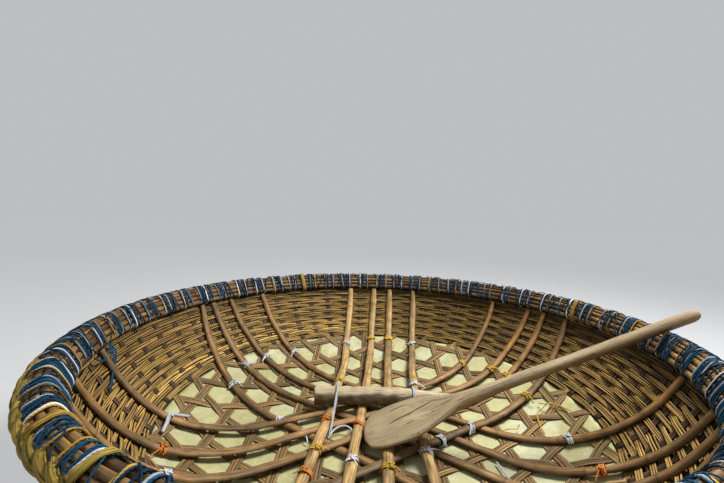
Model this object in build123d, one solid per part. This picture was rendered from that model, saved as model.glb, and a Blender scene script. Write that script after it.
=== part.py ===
from build123d import *
import math
import os

# Indian bamboo coracle with its split log and paddle, in millimetres.
# Z is up, the origin is the middle of the flat bottom, the upright bands of the floor
# weave run along Y.

# Hull form: flat bottom, round bilge, straight flaring top
RIM_RADIUS = 1108.0  # outer face of the skin at rim height
RIM_HEIGHT = 470.0
BASE_RADIUS = 480.0
SIDE_SLOPE = 64.0  # degrees from level, at the rim
HULL_SIDES = 40
BILGE_STEPS = 5

# Hull layers, measured inwards from the outer face of the skin
SKIN_THICKNESS = 4.0
LINER_THICKNESS = 2.0
SEAT_GAP = 0.3  # between pieces that lie on each other

# Open hexagonal floor weave
FLOOR_RUN = 915.0  # where the floor weave gives way to the side weave, along the hull
BAND_SPACING = 152.0
BAND_WIDTH = 34.0
BAND_THICKNESS = 2.5
BAND_WAVE_HEIGHT = 5.2  # how far a band swings over and under
WEAVE_MIDDLE = (0.0, 46.0)  # middle of the hexagon next to the middle of the hull

# Side weave: upright stakes and level courses of splits
STAKE_WIDTH = 25.0
STAKE_THICKNESS = 3.0
COURSE_PITCH = 53.0  # about, since whole courses fill each flat of the bilge
COURSE_GAP = 12.0
COURSE_THICKNESS = 3.5
COURSE_WAVE_HEIGHT = 6.0

# Split cane ribs
RIB_WIDTH = 38.0
RIB_CROWN_WIDTH = 22.0  # of the rounded top
RIB_THICKNESS = 13.0
RIB_LAYER_GAP = 1.0
RIB_CLEARANCE = 0.8  # above the weave, whose splits bulge a little between the stakes
RIB_SETTLE_STEPS = 2  # bilge steps over which the upper ribs come down to the weave
SHORTEST_LENGTH = 1.0  # of a strip, between two of its bends

# The ribs, each tied to the weaving direction it follows: name, heading in degrees,
# offset from the middle there, and how much farther off it is at the rim
RIBS = [
    ("a1", 85.3, 219.0, 111.0),
    ("a2", 85.8, 80.0, 38.0),
    ("a3", 87.6, -41.0, -21.0),
    ("a4", 88.5, -180.0, -105.0),
    ("b1", -33.0, -227.0, 18.0),
    ("b2", -32.5, -13.0, -111.0),
    ("b3", -32.9, 126.0, -118.0),
    ("b4", -31.9, 253.0, 48.0),
    ("c1", 30.4, 183.0, 169.0),
    ("c2", 31.2, 82.0, -32.0),
    ("c3", 32.5, -36.0, -62.0),
    ("c4", 33.3, -219.0, -58.0),
]

# Rim bundle, in the plane of the wall
INNER_HOOP_DEPTH = 29.0
OUTER_HOOP_DEPTH = 14.0
HOOP_LOWER = 46.0
HOOP_UPPER = 36.0
CAP_HEIGHT = 18.0
CAP_WIDTH = 52.0
BORDER_RADIUS = 19.0
BORDER_FACES = 6
BORDER_RISE = 10.0  # of its middle, above the rim's height along the wall
LASHING_COUNT = 20
LASHING_WIDTH = 60.0
LASHING_THICKNESS = 4.0

FLAT_TOLERANCE = 0.0000001  # within which the corners of one face are level

# Split log across the top ribs
LOG_LENGTH = 660.0
LOG_WIDTH = 98.0
LOG_HEIGHT = 82.0
LOG_TURN = 4.0
LOG_MIDDLE = (28.0, 138.0)
LOG_FLAT = 0.4  # half width of the flat side, as a share of the width

# Paddle, one piece of wood, tip in the bottom and shaft on the rim
PADDLE_LENGTH = 1360.0
BLADE_LENGTH = 395.0
BLADE_WIDTH = 205.0
BLADE_THICKNESS = 16.0
SPINE_START = 300.0  # where the neck's round rises out of the blade, from the tip
SPINE_THICKNESS = 17.6
SHOULDER_WIDTH = 50.0  # of the blade where it ends in the neck
NECK_DIAMETER = 62.0
NECK_TAPER = 192.0  # from the blade's end to the even shaft
SHAFT_DIAMETER = 45.0
SHAFT_FACES = 12
PADDLE_TIP = (-57.0, -122.0)
PADDLE_TIP_DROP = 1.9  # middle of the tip, below the top of the rib that the blade lies on
PADDLE_CROSSING = -166.0
PADDLE_ROLL = 15.0

slope = math.radians(SIDE_SLOPE)
half_side = math.pi / HULL_SIDES
# The bilge arc and the straight above it together reach the rim.
side_reach = RIM_RADIUS - BASE_RADIUS
arc_share = 1 - math.cos(slope)
bilge_radius = (side_reach * math.sin(slope) - RIM_HEIGHT * math.cos(slope)) / arc_share
straight = RIM_HEIGHT * math.sin(slope) / arc_share - side_reach
bilge_run = BASE_RADIUS + bilge_radius * slope
rim_run = bilge_run + straight
bilge_step = slope / BILGE_STEPS


def wall(run, lift):
    """Radius and height of the hull at a distance along it from the middle, raised by lift."""
    angle = min(max(run - BASE_RADIUS, 0.0) / bilge_radius, slope)
    flat = min(run, BASE_RADIUS)
    rise = max(run - bilge_run, 0.0)
    radius = flat + (bilge_radius - lift) * math.sin(angle) + rise * math.cos(slope)
    height = bilge_radius - (bilge_radius - lift) * math.cos(angle) + rise * math.sin(slope)
    return radius, height


def on_hull(x, y, lift):
    """Lay a point of the flat weaving plan on the hull, its distance kept from the middle."""
    run = math.hypot(x, y)
    radius, height = wall(run, lift)
    share = radius / run if run > 0 else 1.0
    return Vector(x * share, y * share, height)


def flat_faces(points):
    """One face through the points, or a fan of triangles where they aren't level with each other."""
    normal = (points[1] - points[0]).cross(points[2] - points[0]).normalized()
    if all(abs(normal.dot(point - points[0])) < FLAT_TOLERANCE for point in points[3:]):
        return [Face(Wire.make_polygon(points, close=True))]
    fan = []
    for i in range(1, len(points) - 1):
        fan.append(Face(Wire.make_polygon([points[0], points[i], points[i + 1]], close=True)))
    return fan


def ruled_solid(sections, closed=False):
    """Solid through a row of sections with the same number of corners."""
    faces = []
    count = len(sections[0])
    pairs = list(zip(sections, sections[1:]))
    if closed:
        pairs.append((sections[-1], sections[0]))
    for first, second in pairs:
        for i in range(count):
            j = (i + 1) % count
            faces.extend(flat_faces([first[i], first[j], second[j], second[i]]))
    if not closed:
        faces.extend(flat_faces(sections[0][::-1]))
        faces.extend(flat_faces(sections[-1]))
    return Solid(Shell(faces))


def bend(index, lift):
    """Radius and height of a bend between two flats of the bilge, which touch the arc halfway."""
    angle = (index + 0.5) * bilge_step
    reach = (bilge_radius - lift) / math.cos(bilge_step / 2)
    return BASE_RADIUS + reach * math.sin(angle), bilge_radius - reach * math.cos(angle)


def bend_run(index):
    return BASE_RADIUS + (index + 0.5) * bilge_step * bilge_radius


def flat_wall(run, lift):
    """Radius and height on the flats of the bilge instead of on its arc."""
    if run >= bilge_run or run <= BASE_RADIUS:
        return wall(run, lift)
    place = (run - BASE_RADIUS) / (bilge_step * bilge_radius) - 0.5
    index = math.floor(place)
    first = bend(index, lift) if index >= 0 else wall(BASE_RADIUS, lift)
    last = bend(index + 1, lift) if index + 1 < BILGE_STEPS else wall(bilge_run, lift)
    start = max(index, -0.5)
    share = (place - start) / (min(index + 1, BILGE_STEPS - 0.5) - start)
    return tuple(a + (b - a) * share for a, b in zip(first, last))


def runs_between(start, end):
    """The start, the bends on the way and the end."""
    bends = [bend_run(i) for i in range(BILGE_STEPS)]
    first, last = start + SHORTEST_LENGTH, end - SHORTEST_LENGTH
    return [start] + [run for run in bends if first < run < last] + [end]


def cup(lift, top_run):
    """Solid bowl whose flats touch the hull's surface at a lift."""
    sections = []
    for run in runs_between(BASE_RADIUS, top_run)[1:]:
        radius, height = flat_wall(run, lift)
        outline = RegularPolygon(radius, HULL_SIDES, major_radius=False, rotation=180 / HULL_SIDES)
        sections.append([Vector(x, y, height) for x, y, _ in outline.vertices()])
    return ruled_solid(sections)


def shell_layer(outer_lift, inner_lift, top_run):
    return cup(outer_lift, top_run) - cup(inner_lift, top_run)


def strip_section(x, y, along, half_width, low, high, half_top=None):
    """Corners of a strip that lies on the hull and runs along a heading of the plan."""
    side = (-math.sin(along), math.cos(along))
    crown = half_width if half_top is None else half_top
    corners = [(-half_width, low), (half_width, low), (crown, high), (-crown, high)]
    return [on_hull(x + side[0] * reach, y + side[1] * reach, lift) for reach, lift in corners]


# Heights of the layers above the outer face of the skin
weave_low = SKIN_THICKNESS + LINER_THICKNESS + SEAT_GAP
weave_middle = weave_low + BAND_THICKNESS / 2 + BAND_WAVE_HEIGHT
course_middle = SKIN_THICKNESS + SEAT_GAP + COURSE_THICKNESS / 2 + COURSE_WAVE_HEIGHT
weave_top = max(
    weave_middle + BAND_WAVE_HEIGHT + BAND_THICKNESS / 2,
    course_middle + COURSE_WAVE_HEIGHT + COURSE_THICKNESS / 2,
)
rib_seat = weave_top + RIB_CLEARANCE
rib_layer = RIB_THICKNESS + RIB_LAYER_GAP

# The three weaving directions, in degrees: name, heading, which neighbour it passes over
WEAVE = [("a", 90.0, "b"), ("b", -30.0, "c"), ("c", 30.0, "a")]
RIB_LEVEL = {"b": 0, "c": 1, "a": 2}


def plan_line(heading):
    """Unit steps of the weaving plan ahead along a heading and to the side of it."""
    along = math.radians(heading)
    return (math.cos(along), math.sin(along)), (-math.sin(along), math.cos(along))


def band_offset(side, index):
    """Offset of one band from the middle of the hull, to the side of its heading."""
    shift = WEAVE_MIDDLE[0] * side[0] + WEAVE_MIDDLE[1] * side[1]
    return (index + 0.5) * BAND_SPACING + shift


def band(name, heading, over, offset):
    """One weaving band: straight in the plan, over one set of crossings and under the other."""
    along = math.radians(heading)
    ahead, side = plan_line(heading)
    reach = math.sqrt(FLOOR_RUN**2 - (abs(offset) + BAND_WIDTH / 2) ** 2)
    stops = []
    for other, other_heading, _ in WEAVE:
        if other == name:
            continue
        other_side = plan_line(other_heading)[1]
        across = side[0] * other_side[0] + side[1] * other_side[1]
        forward = ahead[0] * other_side[0] + ahead[1] * other_side[1]
        lines = int(2 * FLOOR_RUN / BAND_SPACING) + 2
        for i in range(-lines, lines):
            place = (band_offset(other_side, i) - offset * across) / forward
            if abs(place) < reach:
                stops.append((place, BAND_WAVE_HEIGHT if other == over else -BAND_WAVE_HEIGHT))
    stops.sort()
    sections = []
    for place, wave in stops:
        x = ahead[0] * place + side[0] * offset
        y = ahead[1] * place + side[1] * offset
        low = weave_middle + wave - BAND_THICKNESS / 2
        sections.append(strip_section(x, y, along, BAND_WIDTH / 2, low, low + BAND_THICKNESS))
    return ruled_solid(sections)


def floor_bands(name, heading, over):
    half_count = int(FLOOR_RUN / BAND_SPACING)
    side = plan_line(heading)[1]
    offsets = [band_offset(side, i) for i in range(-half_count, half_count)]
    return Compound([band(name, heading, over, offset) for offset in offsets])


def rib(name, heading, offset, spread):
    """One split cane, flat side down, from rim bundle to rim bundle over the middle."""
    ahead, side = plan_line(heading)
    raised = RIB_LEVEL[name[0]] * rib_layer
    half = []
    for i in range(BILGE_STEPS + 2):
        run = BASE_RADIUS + i * bilge_step * bilge_radius if i <= BILGE_STEPS else rib_end_run
        middle = offset + spread * (run / rim_run) ** 2
        if run <= abs(middle) + RIB_WIDTH / 2:
            continue
        settled = min(max((i - 1) / RIB_SETTLE_STEPS, 0.0), 1.0)
        low = rib_seat + raised * (1 - settled)
        section = []
        for reach, lift in [
            (-RIB_WIDTH / 2, low),
            (RIB_WIDTH / 2, low),
            (RIB_CROWN_WIDTH / 2, low + RIB_THICKNESS),
            (-RIB_CROWN_WIDTH / 2, low + RIB_THICKNESS),
        ]:
            across = middle + reach
            section.append((math.sqrt(run**2 - across**2), across, lift))
        half.append(section)
    rows = [[(-place, across, lift) for place, across, lift in section] for section in half[::-1]]
    sections = []
    for row in rows + half:
        sections.append([
            on_hull(ahead[0] * place + side[0] * across, ahead[1] * place + side[1] * across, lift)
            for place, across, lift in row
        ])
    return ruled_solid(sections)


def ring(profile, turn=0.0, sides=HULL_SIDES):
    """Many-sided ring through a profile of (radius, height) points."""
    sections = []
    for i in range(sides):
        angle = turn + 2 * half_side * i
        stretch = 1 / math.cos(half_side)
        sections.append([
            Vector(radius * stretch * math.cos(angle), radius * stretch * math.sin(angle), height)
            for radius, height in profile
        ])
    return ruled_solid(sections, closed=True)


def hoop(run_low, run_high, lift_out, lift_in):
    """Hoop of the rim bundle, its four faces square to the wall."""
    corners = [(run_low, lift_out), (run_low, lift_in), (run_high, lift_in), (run_high, lift_out)]
    return ring([flat_wall(run, lift) for run, lift in corners], half_side)


# The bundle's runs along the wall
hoop_low = rim_run - HOOP_LOWER
hoop_mid = rim_run + SEAT_GAP
hoop_top = hoop_mid + HOOP_UPPER
wall_top = hoop_top
cap_low = hoop_top + SEAT_GAP
stake_start = FLOOR_RUN + SEAT_GAP
rib_end_run = hoop_low - LASHING_THICKNESS - 2 * SEAT_GAP
inner_face = weave_top + SEAT_GAP
inner_edge = inner_face + INNER_HOOP_DEPTH
outer_face = -SEAT_GAP
outer_edge = outer_face - OUTER_HOOP_DEPTH


def across_flat(index, run, lift, half):
    """Point on one flat of the hull, to one side of its middle."""
    angle = 2 * half_side * index
    radius, height = flat_wall(run, lift)
    return Vector(
        radius * math.cos(angle) - half * math.sin(angle),
        radius * math.sin(angle) + half * math.cos(angle),
        height,
    )


def stake(index):
    """Upright of the side weave, on the middle of one flat of the hull."""
    half = STAKE_WIDTH / 2
    low = course_middle - STAKE_THICKNESS / 2
    high = low + STAKE_THICKNESS
    sections = []
    for run in runs_between(stake_start, wall_top):
        corners = [(-half, low), (half, low), (half, high), (-half, high)]
        sections.append([across_flat(index, run, lift, reach) for reach, lift in corners])
    return ruled_solid(sections)


def course_places():
    """Start and height of each course: whole courses between the bends and up to the rim."""
    places = []
    stops = runs_between(stake_start, hoop_low)
    for low, high in zip(stops, stops[1:]):
        count = round((high - low) / COURSE_PITCH)
        if count == 0:
            continue
        pitch = (high - low) / count
        places += [(low + i * pitch + COURSE_GAP / 2, pitch - COURSE_GAP) for i in range(count)]
    return places


def course(level, low, tall):
    """Level course of splits that runs in front of one stake and behind the next."""
    sections = []
    for i in range(HULL_SIDES):
        wave = COURSE_WAVE_HEIGHT if (i + level) % 2 == 0 else -COURSE_WAVE_HEIGHT
        back = course_middle + wave - COURSE_THICKNESS / 2
        front = back + COURSE_THICKNESS
        corners = [(low, back), (low, front), (low + tall, front), (low + tall, back)]
        sections.append([across_flat(i, run, lift, 0.0) for run, lift in corners])
    return ruled_solid(sections, closed=True)


def lashing(index):
    """Cord wound over the rim bundle, from under the inner hoops to under the outer ones."""
    flat = round(index * HULL_SIDES / LASHING_COUNT)
    near, far = SEAT_GAP, SEAT_GAP + LASHING_THICKNESS
    top = cap_low + CAP_HEIGHT
    path = [
        ((hoop_low - near, inner_face), (hoop_low - far, inner_face)),
        ((hoop_low - near, inner_edge + near), (hoop_low - far, inner_edge + far)),
        ((top + near, inner_edge + near), (top + far, inner_edge + far)),
        ((top + near, outer_edge - near), (top + far, outer_edge - far)),
        ((hoop_low - near, outer_edge - near), (hoop_low - far, outer_edge - far)),
        ((hoop_low - near, outer_face), (hoop_low - far, outer_face)),
    ]
    half = LASHING_WIDTH / 2
    sections = []
    for inside, outside in path:
        corners = [(-half, inside), (half, inside), (half, outside), (-half, outside)]
        sections.append([across_flat(flat, run, lift, reach) for reach, (run, lift) in corners])
    return ruled_solid(sections)


def border():
    """Rolled straw border outside the outer hoops, over the cord that binds them."""
    reach = BORDER_RADIUS / math.cos(math.pi / BORDER_FACES)
    run = rim_run + BORDER_RISE
    lift = outer_edge - LASHING_THICKNESS - 2 * SEAT_GAP - BORDER_RADIUS
    profile = []
    for i in range(BORDER_FACES):
        angle = 2 * math.pi * (i + 0.5) / BORDER_FACES
        profile.append(flat_wall(run + reach * math.sin(angle), lift + reach * math.cos(angle)))
    return ring(profile, half_side)


# Split log: place along it and size there, both as shares
LOG_SECTIONS = [(-0.5, 1.0), (0.1, 0.92), (0.5, 0.52)]
# Its section, flat side down, as shares of its width and height
LOG_OUTLINE = [
    (-LOG_FLAT, 0.0),
    (LOG_FLAT, 0.0),
    (0.5, 0.42),
    (0.27, 0.94),
    (-0.16, 1.0),
    (-0.48, 0.55),
]


def split_log(seat):
    """Half round log that tapers to its far end, flat side down on the top ribs."""
    sections = []
    for place, size in LOG_SECTIONS:
        width, height = LOG_WIDTH * size, LOG_HEIGHT * size
        sections.append([Vector(LOG_LENGTH * place, width * y, height * z) for y, z in LOG_OUTLINE])
    return Location((LOG_MIDDLE[0], LOG_MIDDLE[1], seat), (0, 0, LOG_TURN)) * ruled_solid(sections)


# Blade outline from the tip to the neck: place along it and half width, both as shares
BLADE_OUTLINE = [(0.0, 0.4), (0.06, 0.74), (0.24, 0.97), (0.48, 1.0), (0.7, 0.84), (0.88, 0.52)]


def paddle(tip, heading, pitch):
    """Leaf blade and round tapering shaft of one piece of wood, built along +X from the tip."""
    edge = [(BLADE_LENGTH * place, BLADE_WIDTH / 2 * half) for place, half in BLADE_OUTLINE]
    edge.append((BLADE_LENGTH, SHOULDER_WIDTH / 2))
    mirrored = [(x, -y) for x, y in edge[::-1]]
    blade = extrude(Polygon(*edge, *mirrored, align=None), BLADE_THICKNESS / 2, both=True)
    rounds = [
        (SPINE_START, SPINE_THICKNESS),
        (BLADE_LENGTH, NECK_DIAMETER),
        (BLADE_LENGTH + NECK_TAPER, SHAFT_DIAMETER),
        (PADDLE_LENGTH, SHAFT_DIAMETER),
    ]
    sections = [Plane.YZ.offset(x) * RegularPolygon(diameter / 2, SHAFT_FACES) for x, diameter in rounds]
    whole = blade + loft(sections, ruled=True)
    whole = Rotation(PADDLE_ROLL, 0, 0) * whole
    whole = Rotation(0, -pitch, 0) * whole
    whole = Rotation(0, 0, heading) * whole
    return Location(tip) * whole


os.makedirs("parts", exist_ok=True)


def save(shape, name):
    export_step(shape, f"parts/{name}.step")


save(shell_layer(0.0, SKIN_THICKNESS, rim_run), "hull_skin")
save(shell_layer(SKIN_THICKNESS, SKIN_THICKNESS + LINER_THICKNESS, FLOOR_RUN), "sack_liner")
for name, heading, over in WEAVE:
    save(floor_bands(name, heading, over), f"floor_weave_{name}")
for name, heading, offset, spread in RIBS:
    save(rib(name, heading, offset, spread), f"rib_{name}")
save(Compound([stake(i) for i in range(HULL_SIDES)]), "side_stakes")
for level, (low, tall) in enumerate(course_places(), start=1):
    save(course(level, low, tall), f"side_course_{level}")

save(hoop(hoop_low, rim_run, inner_edge, inner_face), "rim_hoop_inner_low")
save(hoop(hoop_mid, hoop_top, inner_edge, inner_face), "rim_hoop_inner_high")
save(hoop(hoop_low, rim_run, outer_face, outer_edge), "rim_hoop_outer_low")
save(hoop(hoop_mid, hoop_top, outer_face, outer_edge), "rim_hoop_outer_high")
cap_middle = (inner_edge + outer_edge) / 2
cap = hoop(cap_low, cap_low + CAP_HEIGHT, cap_middle + CAP_WIDTH / 2, cap_middle - CAP_WIDTH / 2)
save(cap, "rim_cap")
save(Compound([lashing(i) for i in range(LASHING_COUNT)]), "rim_lashings")
save(border(), "rim_border")

rib_top = rib_seat + 2 * rib_layer + RIB_THICKNESS
save(split_log(rib_top + SEAT_GAP), "cross_log")

# The shaft lies on the inner top edge of the cap, the tip of the blade on a middle rib.
rim_edge = flat_wall(cap_low + CAP_HEIGHT, cap_middle + CAP_WIDTH / 2)
tip = Vector(*PADDLE_TIP, rib_top - PADDLE_TIP_DROP)
line = Vector(math.sqrt(rim_edge[0] ** 2 - PADDLE_CROSSING**2), PADDLE_CROSSING, rim_edge[1]) - tip
level = math.hypot(line.X, line.Y)
shaft_lift = (SHAFT_DIAMETER / 2 + SEAT_GAP) / (level / line.length)
pitch = math.degrees(math.atan2(line.Z + shaft_lift, level))
heading = math.degrees(math.atan2(line.Y, line.X))
save(paddle(tip, heading, pitch), "paddle")
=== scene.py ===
import math

import bpy
import numpy as np
from mathutils import Matrix


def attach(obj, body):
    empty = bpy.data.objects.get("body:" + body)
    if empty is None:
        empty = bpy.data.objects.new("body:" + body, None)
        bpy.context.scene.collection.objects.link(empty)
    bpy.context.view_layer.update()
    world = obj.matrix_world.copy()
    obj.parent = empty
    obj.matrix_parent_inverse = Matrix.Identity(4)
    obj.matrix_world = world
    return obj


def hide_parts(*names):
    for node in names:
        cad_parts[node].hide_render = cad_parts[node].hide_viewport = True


bl_info = {
    "name": "Basket coracle",
    "version": (1, 0, 0),
    "blender": (4, 5, 0),
    "location": "View3D > Sidebar > Coracle",
    "description": "Dresses a round bamboo coracle with its weave, rim, ties, log and paddle",
    "category": "Object",
}

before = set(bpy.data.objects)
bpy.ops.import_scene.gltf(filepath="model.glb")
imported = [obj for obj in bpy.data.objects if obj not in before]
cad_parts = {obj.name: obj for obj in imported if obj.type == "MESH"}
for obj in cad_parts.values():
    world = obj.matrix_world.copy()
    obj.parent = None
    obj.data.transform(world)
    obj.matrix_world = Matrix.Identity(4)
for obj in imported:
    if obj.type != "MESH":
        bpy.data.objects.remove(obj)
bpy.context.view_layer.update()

# Hull form, in metres, as the frame has it
BASE = 0.480  # radius of the flat bottom
BILGE = 0.638158  # radius of the bilge arc
SLOPE = math.radians(64.0)
BILGE_RUN = BASE + BILGE * SLOPE
RIM_RUN = 1.316987
FLOOR_RUN = 0.915
WATERLINE = 0.100

# Floor weave: three directions, each over the next
BAND_SPACING = 0.152
CROSSING = BAND_SPACING / math.cos(math.radians(30.0)) / 2
WEAVE_SHIFT = np.array([0.0, 0.046])  # middle of the hexagon next to the hull's middle
WEAVE_MIDDLE = 0.0120
BAND_WAVE = 0.0034
HEADINGS = {"a": 90.0, "b": -30.0, "c": 30.0}
OVER = {"a": "b", "b": "c", "c": "a"}

# Side weave: start and height of each course
COURSE_MIDDLE = 0.01205
COURSE_WAVE = 0.0060
COURSE_GAP = 0.012
COURSES = [
    (0.9213, 0.0517),
    (0.9850, 0.0355),
    (1.0325, 0.0355),
    (1.0800, 0.0355),
    (1.1275, 0.0378),
    (1.1774, 0.0378),
    (1.2272, 0.0378),
]
STAKES = 56
STAKE_END_RUN = 1.352

# Ribs: name, heading in degrees, offset from the middle, how much farther off at the rim,
# share of the usual width, and how far aged
RIB_SEAT = 0.0206
RIB_LAYER = 0.0140
RIB_END_RUN = 1.26639
RIB_LEVEL = {"b": 0, "c": 1, "a": 2}
RIBS = [
    ("a1", 85.3, 0.219, 0.111, 1.16, 0.10),
    ("a2", 85.8, 0.080, 0.038, 1.18, 0.15),
    ("a3", 87.6, -0.041, -0.021, 1.16, 0.25),
    ("a4", 88.5, -0.180, -0.105, 1.12, 0.30),
    ("b1", -33.0, -0.227, 0.018, 1.00, 0.45),
    ("b2", -32.5, -0.013, -0.111, 1.06, 0.55),
    ("b3", -32.9, 0.126, -0.118, 1.00, 0.70),
    ("b4", -31.9, 0.253, 0.048, 0.96, 0.45),
    ("c1", 30.4, 0.183, 0.169, 0.90, 0.55),
    ("c2", 31.2, 0.082, -0.032, 0.96, 0.35),
    ("c3", 32.5, -0.036, -0.062, 0.98, 0.30),
    ("c4", 33.3, -0.219, -0.058, 1.00, 0.80),
]

RIB_ROWS = {row[0]: row for row in RIBS}

# Rim bundle: its middle and the half sizes that the cord follows, in the plane of the wall
BUNDLE_RUN = 1.3213
BUNDLE_LIFT = 0.0174
BUNDLE_HALF_RUN = 0.0520
BUNDLE_HALF_LIFT = 0.0335
BORDER_RUN = 1.350
BORDER_LIFT = -0.0155
BORDER_ROUNDS = 45
RIM_CORD_RADIUS = 1.12  # a step along the rim is divided by it to give an angle

# Faces of the skin and the sacking, as lifts inside the hull's outer face
SKIN_FACES = (0.0006, 0.0040)
SACK_FACES = (0.0052, 0.0058)
SACK_RUN = FLOOR_RUN - 0.002  # how far the sacking reaches from the middle

# Splits: half heights, and a stake's split with its half width before it
FLOOR_SPLIT_HIGH = 0.0011
SIDE_SPLIT_HIGH = 0.0027
STAKE_SPLIT = (0.0048, 0.0012)

LOG_MIDDLE = (0.028, 0.138, 0.0619)
LOG_LENGTH = 0.66
LOG_WIDTH = 0.098
LOG_HEIGHT = 0.082
LOG_TURN = math.radians(4.0)
PADDLE_TIP = (-0.057, -0.122, 0.0597)
PADDLE_TURNS = (15.0, 23.8493, -2.2157)  # roll, pitch and heading, in degrees

# Cracks in the blade: start and end in the paddle's own measure from its tip, and width
PADDLE_CRACKS = [
    ((0.095, -0.006, 0.01), (0.335, 0.038, 0.01), 0.0034),
    ((0.115, 0.060, 0.01), (0.205, 0.068, 0.01), 0.0028),
]

# UV map of a carried profile: step from one strand to the next, and scale of its ends
STRAND_SHIFT = 0.37
CAP_SCALE = 0.01

# Stage: lamps with place, diameter and power, what they aim at, the camera, and the floor's rings
LAMPS = [("lamp_over", (1.5, 0.4, 3.2), 1.5, 164.0), ("lamp_side", (-2.6, -2.2, 2.6), 2.4, 14.0)]
LAMP_AIM = (0.0, 0.0, 0.2)
CAMERA_PLACE = (-0.0611, -1.5557, 0.9333)
CAMERA_LENS = 18.1886
CAMERA_TURNS = [(1.1672, "Z"), (90.0 - 3.5198, "X"), (1.5421, "Z")]  # heading, pitch and heel
STAGE_RADII = (3.0, 60.0)
STAGE_SIDES = 240


def paint(red, green, blue):
    """Linear colour of three display values from 0 to 255: ((v / 255 + 0.055) / 1.055) ** 2.4."""
    shares = [value / 255 for value in (red, green, blue)]
    return tuple(((v + 0.055) / 1.055) ** 2.4 if v > 0.04045 else v / 12.92 for v in shares)


# Surface maths


def ripple(seed, axes, pitch, waves=7):
    """Sum of sine waves of about one pitch, each in its own direction of the axes, about -1 to 1."""
    rng = np.random.default_rng(seed)
    total = 0.0
    for _ in range(waves):
        turn = rng.normal(size=len(axes))
        turn = turn / np.linalg.norm(turn) * rng.uniform(0.6, 1.5) / pitch
        along = sum(t * axis for t, axis in zip(turn, axes))
        total = total + np.sin(2 * np.pi * along + rng.uniform(0, 2 * np.pi))
    return total / waves**0.5 * 0.7


def smooth(value, low, high):
    """Rises from 0 at low to 1 at high as 3 t^2 - 2 t^3."""
    t = np.clip((value - low) / (high - low), 0.0, 1.0)
    return t * t * (3 - 2 * t)


def wall(run, lift):
    """Radius and height of the hull at a run from its middle, lift inside its outer face:
    flat, then an arc of the bilge radius less the lift, then straight at the side's slope."""
    angle = np.clip((run - BASE) / BILGE, 0.0, SLOPE)
    rise = np.maximum(run - BILGE_RUN, 0.0)
    radius = np.minimum(run, BASE) + (BILGE - lift) * np.sin(angle) + rise * math.cos(SLOPE)
    height = BILGE - (BILGE - lift) * np.cos(angle) + rise * math.sin(SLOPE)
    return radius, height


def lay(x, y, lift):
    """Point of the flat plan laid on the hull: its distance from the middle becomes its run."""
    run = np.maximum(np.hypot(x, y), 1e-6)
    radius, height = wall(run, lift)
    return np.stack(np.broadcast_arrays(x * radius / run, y * radius / run, height), -1)


def inward(x, y):
    """Direction from the hull's face into the bowl: (-sin a x/run, -sin a y/run, cos a)."""
    run = np.maximum(np.hypot(x, y), 1e-6)
    angle = np.clip((run - BASE) / BILGE, 0.0, SLOPE)
    tilt = -np.sin(angle) / run
    return np.stack(np.broadcast_arrays(tilt * x, tilt * y, np.cos(angle)), -1)


def turns(count):
    """Even angles round a full turn, as one row."""
    return 2 * np.pi * np.arange(count)[None, :] / count


def powered(wave, power):
    """A wave's size to a power with its sign kept: below 1 it squares the wave off."""
    return np.sign(wave) * np.abs(wave) ** power


def polar(run, angle):
    """Place in the flat plan of a run from the middle and an angle."""
    return run * np.cos(angle), run * np.sin(angle)


def wrapped(index):
    """A grid of point numbers with its first column once more at its end."""
    return np.concatenate([index, index[..., :1]], axis=-1)


def cells(grid):
    """The four corners of each cell of a grid, in order round the cell, on a new last axis."""
    corners = [grid[..., :-1, :-1], grid[..., 1:, :-1], grid[..., 1:, 1:], grid[..., :-1, 1:]]
    return np.stack(corners, -1)


def unit(vectors):
    """Vectors scaled to length 1."""
    return vectors / np.maximum(np.linalg.norm(vectors, axis=-1, keepdims=True), 1e-12)


def run_length(paths):
    """Length along each path up to each of its points, as the running sum of its steps."""
    steps = np.linalg.norm(np.diff(paths, axis=1), axis=-1)
    return np.concatenate([np.zeros((len(paths), 1)), np.cumsum(steps, axis=1)], axis=1)


def oval(count, power=1.0):
    """Profile of (across, up) pairs: cos and sin, each to a power that squares it off below 1."""
    turn = turns(count)[0]
    return np.stack([powered(np.cos(turn), power), powered(np.sin(turn), power)], -1)


HALF_ROUND = np.array([
    (1.0, 0.10), (0.95, 0.42), (0.76, 0.74), (0.42, 0.94), (0.0, 1.0), (-0.42, 0.94),
    (-0.76, 0.74), (-0.95, 0.42), (-1.0, 0.10), (-0.86, 0.0), (0.0, 0.0), (0.86, 0.0),
])


class Skin:
    """Points, faces by their number of corners, each corner's place on the surface, and tints."""

    def __init__(self, points, faces, places, tint):
        self.points = points
        self.faces = faces
        self.places = places
        self.tint = tint


def low_side_shade(profile, edge):
    """Share of the tint at each point of a profile, a painted shade: 1 on its crown, less towards its low
    sides.
    """
    return edge + (1 - edge) * np.clip(profile[:, 1], 0, 1) ** 0.7


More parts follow.
